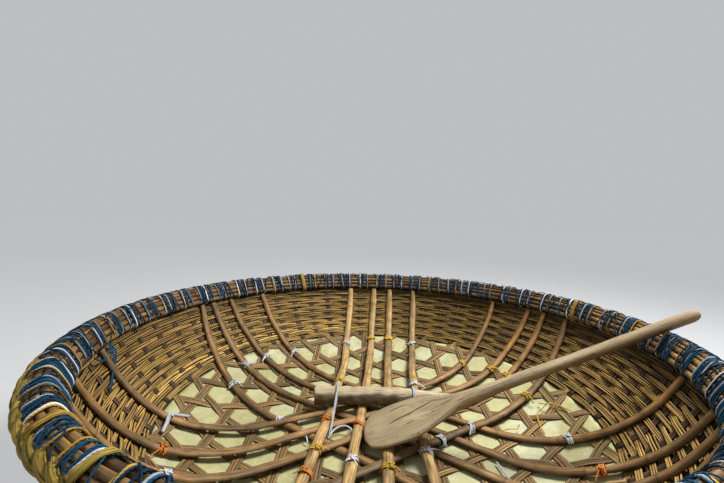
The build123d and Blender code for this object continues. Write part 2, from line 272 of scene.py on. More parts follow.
def carry(paths, ups, half_width, half_height, profile, tint, closed=False, edge=1.0):
    """A profile carried along paths: point = path + side * across * half width
    + up * rise * half height, where side is the path's direction crossed with up."""
    strands, stations = paths.shape[:2]
    corners = len(profile)
    if closed:
        ahead = np.roll(paths, -1, axis=1) - np.roll(paths, 1, axis=1)
    else:
        ahead = np.gradient(paths, axis=1)
    ahead = unit(ahead)
    side = unit(np.cross(ahead, ups))
    up = np.cross(side, ahead)
    wide = np.broadcast_to(half_width, (strands, stations))[..., None, None]
    high = np.broadcast_to(half_height, (strands, stations))[..., None, None]
    points = paths[:, :, None, :] + side[:, :, None, :] * wide * profile[:, 0, None]
    points = points + up[:, :, None, :] * high * profile[:, 1, None]
    index = np.arange(strands * stations * corners).reshape(strands, stations, corners)
    length = run_length(paths)
    steps = np.linalg.norm(np.roll(profile, -1, axis=0) - profile, axis=1)
    girth = np.concatenate([[0.0], np.cumsum(steps)]) * float(np.mean(wide))
    if closed:
        index = np.concatenate([index, index[:, :1]], axis=1)
        last = length[:, -1:] + np.linalg.norm(paths[:, :1] - paths[:, -1:], axis=-1)
        length = np.concatenate([length, last], axis=1)
    ring = wrapped(index)
    lengthwise = np.broadcast_to(length[:, :, None], ring.shape)
    crosswise = np.broadcast_to(girth, ring.shape) + np.arange(strands)[:, None, None] * STRAND_SHIFT
    faces = {4: cells(ring).reshape(-1, 4)}
    places = {4: np.stack([cells(lengthwise), cells(crosswise)], -1).reshape(-1, 4, 2)}
    if not closed:
        caps = np.concatenate([index[:, 0, :], index[:, -1, ::-1]])
        cap_spots = np.broadcast_to(profile * CAP_SCALE, (len(caps), corners, 2))
        faces[corners] = np.concatenate([faces.get(corners, caps[:0]), caps])
        places[corners] = np.concatenate([places.get(corners, cap_spots[:0]), cap_spots])
    tint = np.broadcast_to(tint, paths.shape)[:, :, None, :]
    # Painted shade: the tint darkens towards the profile's low sides, down to the edge share, under and
    # between the strands.
    shades = np.broadcast_to(tint, points.shape) * low_side_shade(profile, edge)[:, None]
    return Skin(points.reshape(-1, 3), faces, places, shades.reshape(-1, 3))


def join(skins):
    """One skin of several: corner numbers move on by the points that come before."""
    faces, places, start = {}, {}, 0
    for skin in skins:
        for corners, face in skin.faces.items():
            faces.setdefault(corners, []).append(face + start)
            places.setdefault(corners, []).append(skin.places[corners])
        start += len(skin.points)
    return Skin(
        np.concatenate([skin.points for skin in skins]),
        {corners: np.concatenate(face) for corners, face in faces.items()},
        {corners: np.concatenate(place) for corners, place in places.items()},
        np.concatenate([skin.tint for skin in skins]),
    )


def make_piece(name, skin, finish, body, nodes=()):
    """Puts a skin into a mesh, with its places as a UV map and its tints as an attribute."""
    mesh = bpy.data.meshes.new(name)
    mesh.vertices.add(len(skin.points))
    mesh.vertices.foreach_set("co", skin.points.astype(np.float32).ravel())
    corners = np.concatenate([face.ravel() for face in skin.faces.values()])
    sizes = np.concatenate([np.full(len(face), size) for size, face in skin.faces.items()])
    mesh.loops.add(len(corners))
    mesh.loops.foreach_set("vertex_index", corners.astype(np.int32))
    mesh.polygons.add(len(sizes))
    starts = np.concatenate([[0], np.cumsum(sizes)[:-1]])
    mesh.polygons.foreach_set("loop_start", starts.astype(np.int32))
    mesh.polygons.foreach_set("use_smooth", np.ones(len(sizes), dtype=bool))
    spots = np.concatenate([place.reshape(-1, 2) for place in skin.places.values()])
    mesh.uv_layers.new(name="along").data.foreach_set("uv", spots.astype(np.float32).ravel())
    shades = np.concatenate([np.clip(skin.tint, 0, 1), np.ones((len(skin.tint), 1))], axis=1)
    layer = mesh.attributes.new("tint", "FLOAT_COLOR", "POINT")
    layer.data.foreach_set("color", shades.astype(np.float32).ravel())
    mesh.update(calc_edges=True)
    mesh.validate()
    mesh.materials.append(finish)
    piece = bpy.data.objects.new(name, mesh)
    bpy.context.scene.collection.objects.link(piece)
    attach(piece, body)
    if nodes:
        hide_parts(*nodes)
    return piece


# Shader maths


class Socket:
    """A node's output that works in sums, differences, products and quotients."""

    def __init__(self, finish, link):
        self.finish = finish
        self.link = link

    def maths(self, operation, first, second):
        """A Math node of two sockets or numbers."""
        return self.finish.add("ShaderNodeMath", {"operation": operation}, {0: first, 1: second})

    def __add__(self, other):
        return self.maths("ADD", self, other)

    def __radd__(self, other):
        return self.maths("ADD", other, self)

    def __sub__(self, other):
        return self.maths("SUBTRACT", self, other)

    def __rsub__(self, other):
        return self.maths("SUBTRACT", other, self)

    def __mul__(self, other):
        return self.maths("MULTIPLY", self, other)

    def __rmul__(self, other):
        return self.maths("MULTIPLY", other, self)

    def __truediv__(self, other):
        return self.maths("DIVIDE", self, other)

    def __rtruediv__(self, other):
        return self.maths("DIVIDE", other, self)


class Finish:
    """A material's node tree."""

    def __init__(self, name, roughness=0.6, specular=0.5):
        self.material = bpy.data.materials.new(name)
        self.material.use_nodes = True
        self.tree = self.material.node_tree
        self.tree.nodes.clear()
        self.shader = self.tree.nodes.new("ShaderNodeBsdfPrincipled")
        self.shader.inputs["Roughness"].default_value = roughness
        self.shader.inputs["Specular IOR Level"].default_value = specular
        output = self.tree.nodes.new("ShaderNodeOutputMaterial")
        self.tree.links.new(self.shader.outputs[0], output.inputs["Surface"])

    def add(self, kind, settings=None, sockets=None, out=0):
        """One node: its type, its settings, then the values or links of its sockets."""
        node = self.tree.nodes.new(kind)
        for key, value in (settings or {}).items():
            setattr(node, key, value)
        for key, value in (sockets or {}).items():
            if isinstance(value, Socket):
                self.tree.links.new(value.link, node.inputs[key])
            else:
                node.inputs[key].default_value = value
        return Socket(self, node.outputs[out])

    def give(self, name, value):
        """Links or sets a socket of the surface's shader."""
        if isinstance(value, Socket):
            self.tree.links.new(value.link, self.shader.inputs[name])
        else:
            self.shader.inputs[name].default_value = value

    def tint(self):
        """The piece's own colour, from its attribute."""
        return self.add("ShaderNodeAttribute", {"attribute_name": "tint"}, out="Color")

    def along(self, scale):
        """The piece's own lengthwise places, stretched."""
        spot = self.add("ShaderNodeUVMap", {"uv_map": "along"})
        return self.add("ShaderNodeMapping", {}, {"Vector": spot, "Scale": scale})

    def spot(self, scale=(1.0, 1.0, 1.0)):
        """Places in the piece's own space, stretched."""
        spot = self.add("ShaderNodeTexCoord", out="Object")
        return self.add("ShaderNodeMapping", {}, {"Vector": spot, "Scale": scale})

    def noise(self, place, scale=1.0, detail=3.0, rough=0.55, warp=0.0):
        """Noise at a place, about 0.5 in the middle."""
        sockets = {"Vector": place, "Scale": scale, "Detail": detail, "Roughness": rough}
        return self.add("ShaderNodeTexNoise", {}, {**sockets, "Distortion": warp})

    def ramp(self, value, low, high):
        """0 below low, 1 above high, smooth between."""
        sockets = {"Value": value, "From Min": low, "From Max": high}
        return self.add("ShaderNodeMapRange", {"interpolation_type": "SMOOTHSTEP"}, sockets)

    def shade(self, colour, share):
        """Colour times a share, by Vector Math."""
        lot = self.add("ShaderNodeCombineXYZ", {}, {0: share, 1: share, 2: share})
        return self.add("ShaderNodeVectorMath", {"operation": "MULTIPLY"}, {0: colour, 1: lot})

    def mix(self, share, first, second):
        """First colour where the share is 0, second where it is 1."""
        first, second = ((*c, 1.0) if isinstance(c, tuple) else c for c in (first, second))
        sockets = {0: share, 6: first, 7: second}
        return self.add("ShaderNodeMix", {"data_type": "RGBA"}, sockets, out=2)

    def bump(self, height, distance):
        """Relief of a height and distance on the shader's normal."""
        sockets = {"Height": height, "Distance": distance}
        self.give("Normal", self.add("ShaderNodeBump", {}, sockets))


def bamboo(name, gloss=0.45, lines=420.0, contrast=1.0, dirt=(0.035, 0.026, 0.018)):
    """Split bamboo: tinted fibres that run lengthwise, dark flecks and grime in patches."""
    finish = Finish(name, specular=0.35)
    fibre = finish.noise(finish.along((9.0, lines, 1.0)), detail=4.0, rough=0.65)
    broad = finish.noise(finish.along((3.0, lines * 0.22, 1.0)), detail=2.0)
    fleck = finish.ramp(finish.noise(finish.along((60.0, lines * 1.3, 1.0)), detail=2.0), 0.60, 0.72)
    grime = finish.ramp(finish.noise(finish.spot(), 9.0, 4.0, 0.7), 0.48, 0.78)
    share = ((fibre - 0.5) * 1.8 + (broad - 0.5) * 1.3) * contrast + 0.98
    colour = finish.shade(finish.tint(), share)
    colour = finish.mix(fleck * 0.55, colour, dirt)
    colour = finish.mix(grime * 0.45, colour, dirt)
    finish.give("Base Color", colour)
    finish.give("Roughness", gloss + fibre * 0.25 + grime * 0.15)
    finish.bump(fibre + broad * 0.6, 0.0007)
    return finish.material


def cord(name):
    """Plastic cord: frays lengthwise, faint strands that wind round it, worn dark in patches."""
    finish = Finish(name, roughness=0.55, specular=0.25)
    spot = finish.add("ShaderNodeUVMap", {"uv_map": "along"})
    parts = {"Vector": spot}
    length = finish.add("ShaderNodeSeparateXYZ", {}, parts, out="X")
    girth = finish.add("ShaderNodeSeparateXYZ", {}, parts, out="Y")
    turn = length * 900.0 + girth * 700.0
    strand = finish.add("ShaderNodeMath", {"operation": "SINE"}, {0: turn})
    fray = finish.noise(finish.along((22.0, 900.0, 1.0)), detail=3.0)
    worn = finish.noise(finish.spot(), 22.0, 3.0)
    share = strand * 0.07 + fray * 1.05 + worn * 1.0 - 0.02
    finish.give("Base Color", finish.shade(finish.tint(), share))
    finish.bump(strand * 0.35 + fray, 0.0006)
    return finish.material


def straw(name):
    """Twisted straw: long blades lengthwise, with painted shade between them."""
    finish = Finish(name, roughness=0.75, specular=0.3)
    blades = finish.noise(finish.along((7.0, 260.0, 1.0)), detail=3.0, rough=0.6, warp=0.4)
    # Painted shade: dark between the blades, where shade falls in the twists.
    blade_gap_shade = finish.ramp(blades, 0.34, 0.47)
    patch = finish.noise(finish.spot(), 14.0, 3.0)
    share = blade_gap_shade * 0.85 + patch * 0.90 - 0.38
    finish.give("Base Color", finish.shade(finish.tint(), share))
    finish.bump(blade_gap_shade + blades, 0.0022)
    return finish.material


def tar():
    """Cloth under black tar: lumps, runs and a dull bloom where it has dried."""
    finish = Finish("tarred_cloth")
    lumps = finish.noise(finish.spot(), 26.0, 5.0, 0.6)
    bloom = finish.ramp(finish.noise(finish.spot((1.0, 1.0, 0.5)), 5.0, 4.0, 0.65), 0.45, 0.75)
    cloth = finish.noise(finish.spot(), 520.0, 1.0)
    colour = finish.mix(bloom * 0.7, paint(24, 22, 21), paint(58, 54, 49))
    finish.give("Base Color", finish.shade(colour, 0.75 + lumps * 0.5))
    finish.give("Roughness", 0.38 + bloom * 0.35 + lumps * 0.1)
    finish.bump(lumps + cloth * 0.25, 0.004)
    return finish.material


def sacking():
    """Pale woven plastic tape: a fine check of tapes, creases and old stains."""
    finish = Finish("sacking", roughness=0.55)
    place = finish.spot()
    tape = finish.add("ShaderNodeTexChecker", {}, {"Vector": place, "Scale": 420.0}, out="Fac")
    crease = finish.noise(place, 16.0, 5.0, 0.6, 1.2)
    marks = finish.ramp(finish.noise(place, 4.2, 5.0, 0.7), 0.46, 0.72)
    fresh = finish.ramp(finish.noise(finish.spot((1.0, 1.0, 4.0)), 2.3, 2.0), 0.5, 0.66)
    colour = finish.mix(marks * 0.5, finish.tint(), paint(160, 150, 88))
    colour = finish.mix(fresh * 0.4, colour, paint(222, 226, 196))
    # Painted shade and highlight: lighter and darker with the creases, whose relief the bump also gives.
    share = 0.60 + crease * 0.70 + tape * 0.05
    finish.give("Base Color", finish.shade(colour, share))
    finish.bump(crease + tape * 0.03, 0.004)
    return finish.material


def split_line(finish, start, end, across, width):
    """Dark crack from start to end of a piece's own space: 1 within its width of the line, which
    wanders by noise, measured along the direction across it; 0 beyond its ends."""
    start, end = np.array(start), np.array(end)
    length = float(np.linalg.norm(end - start))
    ahead = (end - start) / length
    across = np.array(across) - np.dot(across, ahead) * ahead
    across = across / np.linalg.norm(across)
    place = finish.add("ShaderNodeTexCoord", out="Object")
    parts = []
    for axis in (ahead, across):
        dot = finish.add(
            "ShaderNodeVectorMath", {"operation": "DOT_PRODUCT"}, {0: place, 1: tuple(axis)}, out="Value"
        )
        parts.append(dot - float(np.dot(start, axis)))
    along, aside = parts
    wander = finish.noise(finish.spot(), 26.0, 3.0) - 0.5
    aside = finish.add("ShaderNodeMath", {"operation": "ABSOLUTE"}, {0: aside + wander * 0.012})
    inside = finish.ramp(along, 0.0, length * 0.15) * finish.ramp(along, length, length * 0.7)
    return finish.ramp(aside / (inside + 0.05), width, width * 0.45) * finish.ramp(inside, 0.0, 0.05)


def timber(name, gloss=0.55, cracks=()):
    """Bare old wood: grain lengthwise, checks that have opened dark, stains, brown patches and dark specks.
    """
    finish = Finish(name)
    warp = finish.noise(finish.along((2.2, 9.0, 1.0)), detail=2.0)
    grain = finish.noise(finish.along((5.0, 190.0, 1.0)), detail=5.0, rough=0.68, warp=0.5)
    ring = finish.noise(finish.along((1.1, 34.0, 1.0)), detail=3.0, rough=0.5, warp=1.6)
    check = finish.noise(finish.along((4.5, 120.0, 1.0)), detail=2.0, rough=0.4, warp=0.3)
    check = finish.ramp(check, 0.36, 0.31)
    stain = finish.ramp(finish.noise(finish.along((5.0, 11.0, 1.0)), detail=4.0, rough=0.7), 0.56, 0.74)
    share = grain * 0.95 + ring * 0.75 + warp * 0.50 - 0.10
    colour = finish.shade(finish.tint(), share)
    brown = finish.ramp(finish.noise(finish.along((9.0, 30.0, 1.0)), detail=4.0, rough=0.7), 0.50, 0.68)
    colour = finish.mix(brown * 0.55, colour, paint(146, 110, 70))
    speck = finish.noise(finish.along((26.0, 90.0, 1.0)), detail=4.0, rough=0.75)
    speck = finish.ramp(speck, 0.57, 0.66) * finish.ramp(ring, 0.42, 0.58)
    colour = finish.mix(stain * 0.62, colour, paint(96, 74, 50))
    colour = finish.mix(speck * 0.75, colour, paint(50, 42, 32))
    colour = finish.mix(check * 0.80, colour, paint(42, 32, 24))
    for start, end, across, width in cracks:
        crack = split_line(finish, start, end, across, width)
        colour = finish.mix(crack * 0.92, colour, paint(30, 24, 18))
    finish.give("Base Color", colour)
    finish.give("Roughness", gloss + grain * 0.25)
    finish.bump(grain * 0.7 + ring * 0.4 - check * 1.2, 0.0016)
    return finish.material


# Sizes and colours that a user would change


def size_setting(name, text, default):
    """A length in metres, from 0 up."""
    return bpy.props.FloatProperty(name=name, description=text, default=default, unit="LENGTH", min=0.0)


def share_setting(name, text, default):
    """A share of a usual or full size, from 0.1 to 2."""
    return bpy.props.FloatProperty(name=name, description=text, default=default, min=0.1, max=2.0)


def colour_setting(name, text, red, green, blue):
    """A colour, given as three display values from 0 to 255."""
    return bpy.props.FloatVectorProperty(
        name=name, description=text, default=paint(red, green, blue), subtype="COLOR", min=0.0, max=1.0
    )


class CoracleSizes(bpy.types.PropertyGroup):
    """Sizes of the splits, ribs, ties and cord"""

    split_width: size_setting("Floor split", "Width of one split of a floor band", 0.0118)
    rib_width: size_setting("Rib", "Width of a rib across its flat side", 0.037)
    rib_height: size_setting("Rib height", "Height of a rib from its flat side", 0.0142)
    tie_width: size_setting("Tie", "Width of the cord that ties the ribs", 0.0074)
    side_fill: share_setting("Side splits", "Share of a side course that its splits fill", 0.76)
    cord_scale: share_setting("Cord", "Width of the rim's cord against the real one", 1.0)


class CoracleColours(bpy.types.PropertyGroup):
    """Colours of the pieces, before wear and shade"""

    floor: colour_setting("Floor splits", "Dry bamboo of the floor weave", 140, 112, 70)
    side: colour_setting("Side splits", "Golden bamboo of the side weave", 186, 148, 78)
    # Painted shade: the stakes' colour is kept dark for the shade they lie in behind the courses.
    stake: colour_setting("Stakes", "Darker uprights of the side weave", 88, 68, 48)
    rib: colour_setting("Ribs", "Brown cane of the slanting ribs", 170, 127, 75)
    pale_rib: colour_setting("Pale ribs", "Tan cane of the upright ribs", 196, 160, 104)
    aged_rib: colour_setting("Aged ribs", "Grey brown cane of the ribs", 112, 90, 60)
    cane: colour_setting("Rim canes", "Golden brown cane of the rim", 162, 126, 78)
    aged_cane: colour_setting("Aged rim canes", "Grey brown cane of the rim", 88, 66, 44)
    blue: colour_setting("Blue cord", "Most of the rim's cord", 2, 68, 98)
    white: colour_setting("White cord", "Pale cord of rim and ties", 190, 194, 198)
    yellow: colour_setting("Yellow cord", "Yellow cord of rim and ties", 194, 156, 58)
    orange: colour_setting("Orange cord", "Orange cord of some ties", 178, 108, 42)
    straw: colour_setting("Straw", "Rolled border", 184, 152, 64)
    sack: colour_setting("Sacking", "Sheet under the floor weave", 198, 192, 138)
    log: colour_setting("Log", "Split log", 200, 182, 146)
    paddle: colour_setting("Paddle", "Wood of the paddle", 180, 160, 124)


def tones(base, count, seed, spread=0.18, hue=0.06):
    """One tint for each strand: the base colour times a random shade, each channel moved a little."""
    rng = np.random.default_rng(seed)
    shade = np.exp(rng.normal(0, spread, (count, 1)))
    tint = np.array(base)[None, :] * shade * np.exp(rng.normal(0, hue, (count, 3)))
    return tint[:, None, :]


def mottle(tint, amount, seed, axes, pitch):
    """Tints made lighter and darker along their strands: tint * (1 + amount * ripple)."""
    return tint * (1 + amount * ripple(seed, axes, pitch))[..., None]


def floor_splits(direction, sizes, base):
    """Three splits to a band. Each follows a line of the flat plan, laid on the hull, and swings
    over and under: lift = middle + wave * cos(pi * (s - first over) / crossing)."""
    heading = math.radians(HEADINGS[direction])
    ahead = np.array([math.cos(heading), math.sin(heading)])
    side = np.array([-ahead[1], ahead[0]])
    other = math.radians(HEADINGS[OVER[direction]])
    other_side = np.array([-math.sin(other), math.cos(other)])
    lines = (np.arange(-6, 6) + 0.5) * BAND_SPACING + WEAVE_SHIFT @ side
    rng = np.random.default_rng(ord(direction))
    spread = (np.arange(3) - 1) * sizes.split_width * 1.03
    base_offset = np.repeat(lines, 3)
    shift = np.tile(spread, len(lines)) + rng.normal(0, 0.0005, len(base_offset))
    reach = np.sqrt((FLOOR_RUN + rng.uniform(0.0, 0.05, len(base_offset))) ** 2 - base_offset**2)
    s = np.linspace(-1, 1, 116)[None, :] * reach[:, None]
    number = np.arange(len(base_offset))[:, None] * 3.7
    wander = ripple(ord(direction), (s, number), 0.35) * 0.0009
    offset = (base_offset + shift)[:, None] + wander
    first = 0.5 * BAND_SPACING + WEAVE_SHIFT @ other_side - base_offset * (side @ other_side)
    first = first / (ahead @ other_side)
    swing = np.cos(np.pi * (s - first[:, None]) / CROSSING)
    x = ahead[0] * s + side[0] * offset
    y = ahead[1] * s + side[1] * offset
    tuck = smooth(np.hypot(x, y), FLOOR_RUN - 0.05, FLOOR_RUN)
    lift = WEAVE_MIDDLE + BAND_WAVE * swing * (1 - 0.8 * tuck) - 0.003 * tuck
    lift = lift + ripple(ord(direction) + 9, (s, number), 0.12) * 0.0003
    tint = tones(base, len(base_offset), ord(direction) + 3, 0.20)
    tint = mottle(tint, 0.16, ord(direction) + 5, (s, number), 0.20)
    wide = sizes.split_width / 2 * (1 + 0.06 * ripple(ord(direction) + 6, (s, number), 0.3))
    return carry(lay(x, y, lift), inward(x, y), wide, FLOOR_SPLIT_HIGH, oval(6, 0.6), tint, edge=0.35)


def side_stakes(base):
    """Three splits to a stake, up the hull at even angles, from under the first course to the rim."""
    rng = np.random.default_rng(41)
    angle = np.repeat(2 * np.pi * np.arange(STAKES) / STAKES, 3)
    angle = angle + np.tile([-1, 0, 1], STAKES) * 0.0100 + rng.normal(0, 0.0010, len(angle))
    start = FLOOR_RUN + rng.uniform(0.003, 0.010, len(angle))
    run = start[:, None] + np.linspace(0, 1, 20)[None, :] * (STAKE_END_RUN - start)[:, None]
    number = np.arange(len(angle))[:, None] * 2.9
    turn = angle[:, None] + ripple(42, (run, number), 0.2) * 0.0012
    x, y = polar(run, turn)
    lift = COURSE_MIDDLE + ripple(43, (run, number), 0.1) * 0.0005
    tint = tones(base, len(angle), 44, 0.25)
    tint = mottle(tint, 0.2, 45, (run, number), 0.1)
    return carry(lay(x, y, lift), inward(x, y), *STAKE_SPLIT, oval(6, 0.8), tint, edge=0.15)


def side_course(level, sizes, base):
    """Two rows of three splits. Each split is an arc over sixteen stakes that swings in front and
    behind: lift = middle + wave * cos(pi * angle / stake angle), and slides aside at its ends. The
    tint carries painted shade: darker on the right wall, darker towards the rim in its shadow, and
    darker with less blue at the far right."""
    low, tall = COURSES[level]
    rng = np.random.default_rng(60 + level)
    rows, splits, arcs, stakes = 2, 3, 4, 16
    row, split, arc = np.meshgrid(np.arange(rows), np.arange(splits), np.arange(arcs), indexing="ij")
    row, split, arc = row.ravel(), split.ravel(), arc.ravel()
    count = len(arc)
    step = 2 * np.pi / STAKES
    stagger = (split * 5 + row * 3 + level * 7) % 14 + rng.integers(-1, 2, count)
    t = np.linspace(0, 1, stakes * 5 + 1)[None, :]
    place = (arc * STAKES / arcs + stagger)[:, None] + t * (stakes + 0.6)
    number = np.arange(count)[:, None] * 5.3
    pitch = (tall + COURSE_GAP) / rows
    run = low - COURSE_GAP / 2 + pitch * (row + 0.5)[:, None]
    run = run + (split - 1)[:, None] * pitch * 0.31
    run = run + ripple(61 + level, (place * step, number), 0.5) * 0.0020
    run = run + rng.normal(0, 0.0012, count)[:, None] + rng.normal(0, 0.0022, count)[:, None] * (t - 0.5)
    ends = 1 - smooth(np.minimum(t, 1 - t) * stakes, 0.3, 1.6)
    run = run + ends * 0.0035
    swing = np.cos(np.pi * (place + row[:, None] + level * rows))
    swing = powered(swing, 0.7)
    lift = COURSE_MIDDLE + COURSE_WAVE * swing - ends * 0.0012
    lift = lift + rng.normal(0, 0.0004, count)[:, None]
    angle = place * step
    x, y = polar(run, angle)
    tint = tones(base, count, 62 + level, 0.24, 0.04)
    tint = mottle(tint, 0.24, 63 + level, (place * step, number), 0.12)
    # Painted shade: darker on the right wall, most round the angle of 0.6 radians.
    painted_right_wall_shade = smooth(np.cos(angle - 0.60), -0.1, 1.0) * 0.28
    # Painted shadow of the rim: darker towards the top of the wall.
    tint = tint * (1 - painted_right_wall_shade)[..., None] * (1 - 0.50 * smooth(run, 1.12, 1.27))[..., None]
    # Painted shade at the far right: darker, with less blue.
    painted_far_right_shade = smooth(np.cos(angle - 1.10), 0.84, 0.99)[..., None]
    tint = tint * (1 - painted_far_right_shade * np.array([0.26, 0.25, 0.42]))
    wide = pitch * sizes.side_fill / (2 * splits) * (1 + rng.normal(0, 0.10, count))[:, None]
    wide = wide * (1 - 0.5 * ends)
    return carry(lay(x, y, lift), inward(x, y), wide, SIDE_SPLIT_HIGH, oval(8, 1.0), tint, edge=0.12)


def rib_seed(name):
    """A rib's own number for its random draws: its letter's code times ten and its figure."""
    return ord(name[0]) * 10 + int(name[1])


def rib_path(row, places):
    """Line of a rib in the flat plan: across = offset + spread * (run / rim run)^2, with a slow
    wander of 3 mm. It lies at its layer's height over the middle and settles on the weave."""
    name, heading, offset, spread = row[:4]
    heading = math.radians(heading)
    across = offset + spread * (places**2 + offset**2) / RIM_RUN**2
    across = offset + spread * (places**2 + across**2) / RIM_RUN**2
    across = across + 0.003 * ripple(rib_seed(name), (places, places * 0), 0.45)
    x = math.cos(heading) * places - math.sin(heading) * across
    y = math.sin(heading) * places + math.cos(heading) * across
    settled = smooth(np.hypot(x, y), 0.60, 0.91)
    lift = RIB_SEAT + RIB_LEVEL[name[0]] * RIB_LAYER * (1 - settled)
    return x, y, lift


def rib(row, sizes, base, aged):
    """Half round cane, flat side down, with a swelling at each node: 1 + 0.07 exp(-(d / 8 mm)^2).
    Its tint drifts between fresh and aged cane along its length."""
    name, _, offset, spread, broad, age = row
    seed = rib_seed(name)
    rng = np.random.default_rng(seed)
    across = offset + spread * (RIB_END_RUN / RIM_RUN) ** 2
    reach = math.sqrt(RIB_END_RUN**2 - across**2) - 0.003
    places = np.linspace(-reach, reach, 300)[None, :]
    x, y, lift = rib_path(row, places)
    nodes = np.cumsum(rng.uniform(0.20, 0.34, 12)) - reach - 0.1
    near = np.exp(-(((places[..., None] - nodes) / 0.008) ** 2)).sum(-1)
    ridge = np.exp(-(((places[..., None] - nodes) / 0.0035) ** 2)).sum(-1)
    wide = sizes.rib_width / 2 * broad * (1 + 0.07 * near)
    uneven = 0.06 * ripple(seed, (places, places), 0.3) + 0.04 * ripple(seed + 7, (places, places), 0.06)
    wide = wide * (1 + uneven)
    wide = wide * (0.78 + 0.22 * smooth(reach - np.abs(places), 0.0, 0.12))
    top_layer = 0.92 if name[0] == "a" else 1.0
    high = sizes.rib_height * top_layer * (1 + 0.08 * near)
    high = high * (1 + 0.04 * ripple(seed + 1, (places, places), 0.2))
    share = np.clip(age + 0.35 * ripple(seed + 2, (places, places * 0), 0.5), 0, 1)[..., None]
    tint = np.array(base) * (1 - share) + np.array(aged) * share
    drift = 1 + 0.16 * ripple(seed + 3, (places, places * 0), 0.07) + rng.normal(0, 0.06)
    tint = tint * (drift * (1 - 0.40 * ridge))[..., None]
    return carry(lay(x, y, lift), inward(x, y), wide, high, HALF_ROUND, tint, edge=0.30)


# The rim's canes: node, run and lift of the middle, half height along the wall, half depth
CANES = [
    ("rim_hoop_inner_low", 1.2828, 0.0345, 0.0112, 0.0122),
    ("rim_hoop_inner_low", 1.3060, 0.0355, 0.0110, 0.0128),
    ("rim_hoop_inner_high", 1.3288, 0.0355, 0.0116, 0.0126),
    ("rim_hoop_inner_high", 1.3466, 0.0335, 0.0064, 0.0112),
    ("rim_hoop_outer_low", 1.2828, -0.0072, 0.0112, 0.0060),
    ("rim_hoop_outer_low", 1.3060, -0.0078, 0.0110, 0.0062),
    ("rim_hoop_outer_high", 1.3288, -0.0076, 0.0116, 0.0062),
    ("rim_hoop_outer_high", 1.3466, -0.0066, 0.0064, 0.0058),
    ("rim_cap", 1.3590, 0.0345, 0.0080, 0.0085),
    ("rim_cap", 1.3622, 0.0170, 0.0086, 0.0090),
    ("rim_cap", 1.3582, 0.0002, 0.0080, 0.0080),
]
CANE_NODES = 22  # nodes of each cane round the rim


def rim_canes(node, base, aged):
    """Rings of cane at a run and lift of the wall, each with nodes and a slow wander of its own."""
    rows = np.array([row[1:] for row in CANES if row[0] == node])
    seed = sum(map(ord, node))
    rng = np.random.default_rng(seed)
    turn = turns(330)
    number = np.arange(len(rows))[:, None] * 4.1
    circle = (np.cos(turn), np.sin(turn), number)
    run = rows[:, 0:1] + ripple(seed, circle, 0.5) * 0.0010
    lift = rows[:, 1:2] + ripple(seed + 1, circle, 0.5) * 0.0008
    nodes = np.sort(rng.uniform(0, 2 * np.pi, (len(rows), CANE_NODES)), axis=1)
    away = np.abs(np.angle(np.exp(1j * (turn[..., None] - nodes[:, None, :]))))
    near = np.exp(-((away / 0.012) ** 2)).sum(-1)
    swell = 1 + 0.04 * near
    x, y = polar(run, turn)
    part = np.searchsorted(nodes[0], turn[0]) % CANE_NODES
    share = rng.uniform(0, 1, (len(rows), CANE_NODES, 1))[:, part]
    tint = np.array(base) * (1 - share) + np.array(aged) * share
    tint = tint * np.exp(rng.normal(0, 0.16, (len(rows), CANE_NODES, 1)))[:, part]
    tint = tint * (1 + 0.16 * ripple(seed + 2, circle, 0.12) - 0.25 * near)[..., None]
    # Painted shade: the canes darken on the far side of the rim.
    tint = tint * (1 - 0.40 * smooth(np.sin(turn + 0.3), 0.0, 0.9))[..., None]
    tall, deep = rows[:, 2:3] * swell, rows[:, 3:4] * swell
    return carry(lay(x, y, lift), inward(x, y), tall, deep, oval(8, 0.9), tint, closed=True)


def round_bundle(turn, swell=0.0):
    """Run and lift on the rounded square round the rim's canes: half sizes times cos and sin^0.6."""
    up, out = np.sin(turn), np.cos(turn)
    run = BUNDLE_RUN + (BUNDLE_HALF_RUN + swell) * powered(up, 0.6)
    lift = BUNDLE_LIFT + (BUNDLE_HALF_LIFT + swell) * powered(out, 0.6)
    return run, lift


def bundle_out(angle, turn):
    """Direction away from the middle of the rim's bundle, the up of a cord that lies on it."""
    run, lift = round_bundle(turn)
    middle = lay(BUNDLE_RUN * np.cos(angle), BUNDLE_RUN * np.sin(angle), BUNDLE_LIFT)
    return unit(lay(run * np.cos(angle), run * np.sin(angle), lift) - middle)


# Groups of cord on the rim: place in millimetres from the group's start, lean in millimetres,
# colour, width in millimetres
RIM_GROUPS = [
    [
        (0, 4, "white", 9), (9, 5, "blue", 7), (18, -8, "blue", 6), (27, 9, "blue", 6),
        (36, -6, "blue", 7), (47, 7, "blue", 6), (57, 3, "white", 8), (66, 2, "yellow", 7),
    ],
    [
        (0, 6, "yellow", 9), (9, 7, "blue", 7), (17, -9, "blue", 6), (30, 10, "blue", 6),
        (39, -4, "blue", 7), (50, 5, "white", 9), (58, 6, "blue", 7),
    ],
    [
        (0, 5, "blue", 7), (7, 5, "white", 10), (15, 6, "blue", 7), (44, -7, "blue", 6),
        (52, 8, "blue", 6), (62, 3, "white", 8), (70, 4, "blue", 7),
    ],
    [
        (0, -5, "blue", 7), (8, 8, "blue", 6), (22, -7, "blue", 6), (31, 4, "white", 8),
        (40, 9, "blue", 7), (60, -6, "blue", 6), (69, 5, "blue", 7), (78, 4, "white", 8),
    ],
]
RIM_GROUP_COUNT = 54

# Wisps of straw on the rim: heading in degrees, lean in radians
STRAW_LOOPS = [(232.0, 0.016), (242.5, 0.022), (292.0, -0.014), (18.0, 0.012), (118.0, 0.010)]


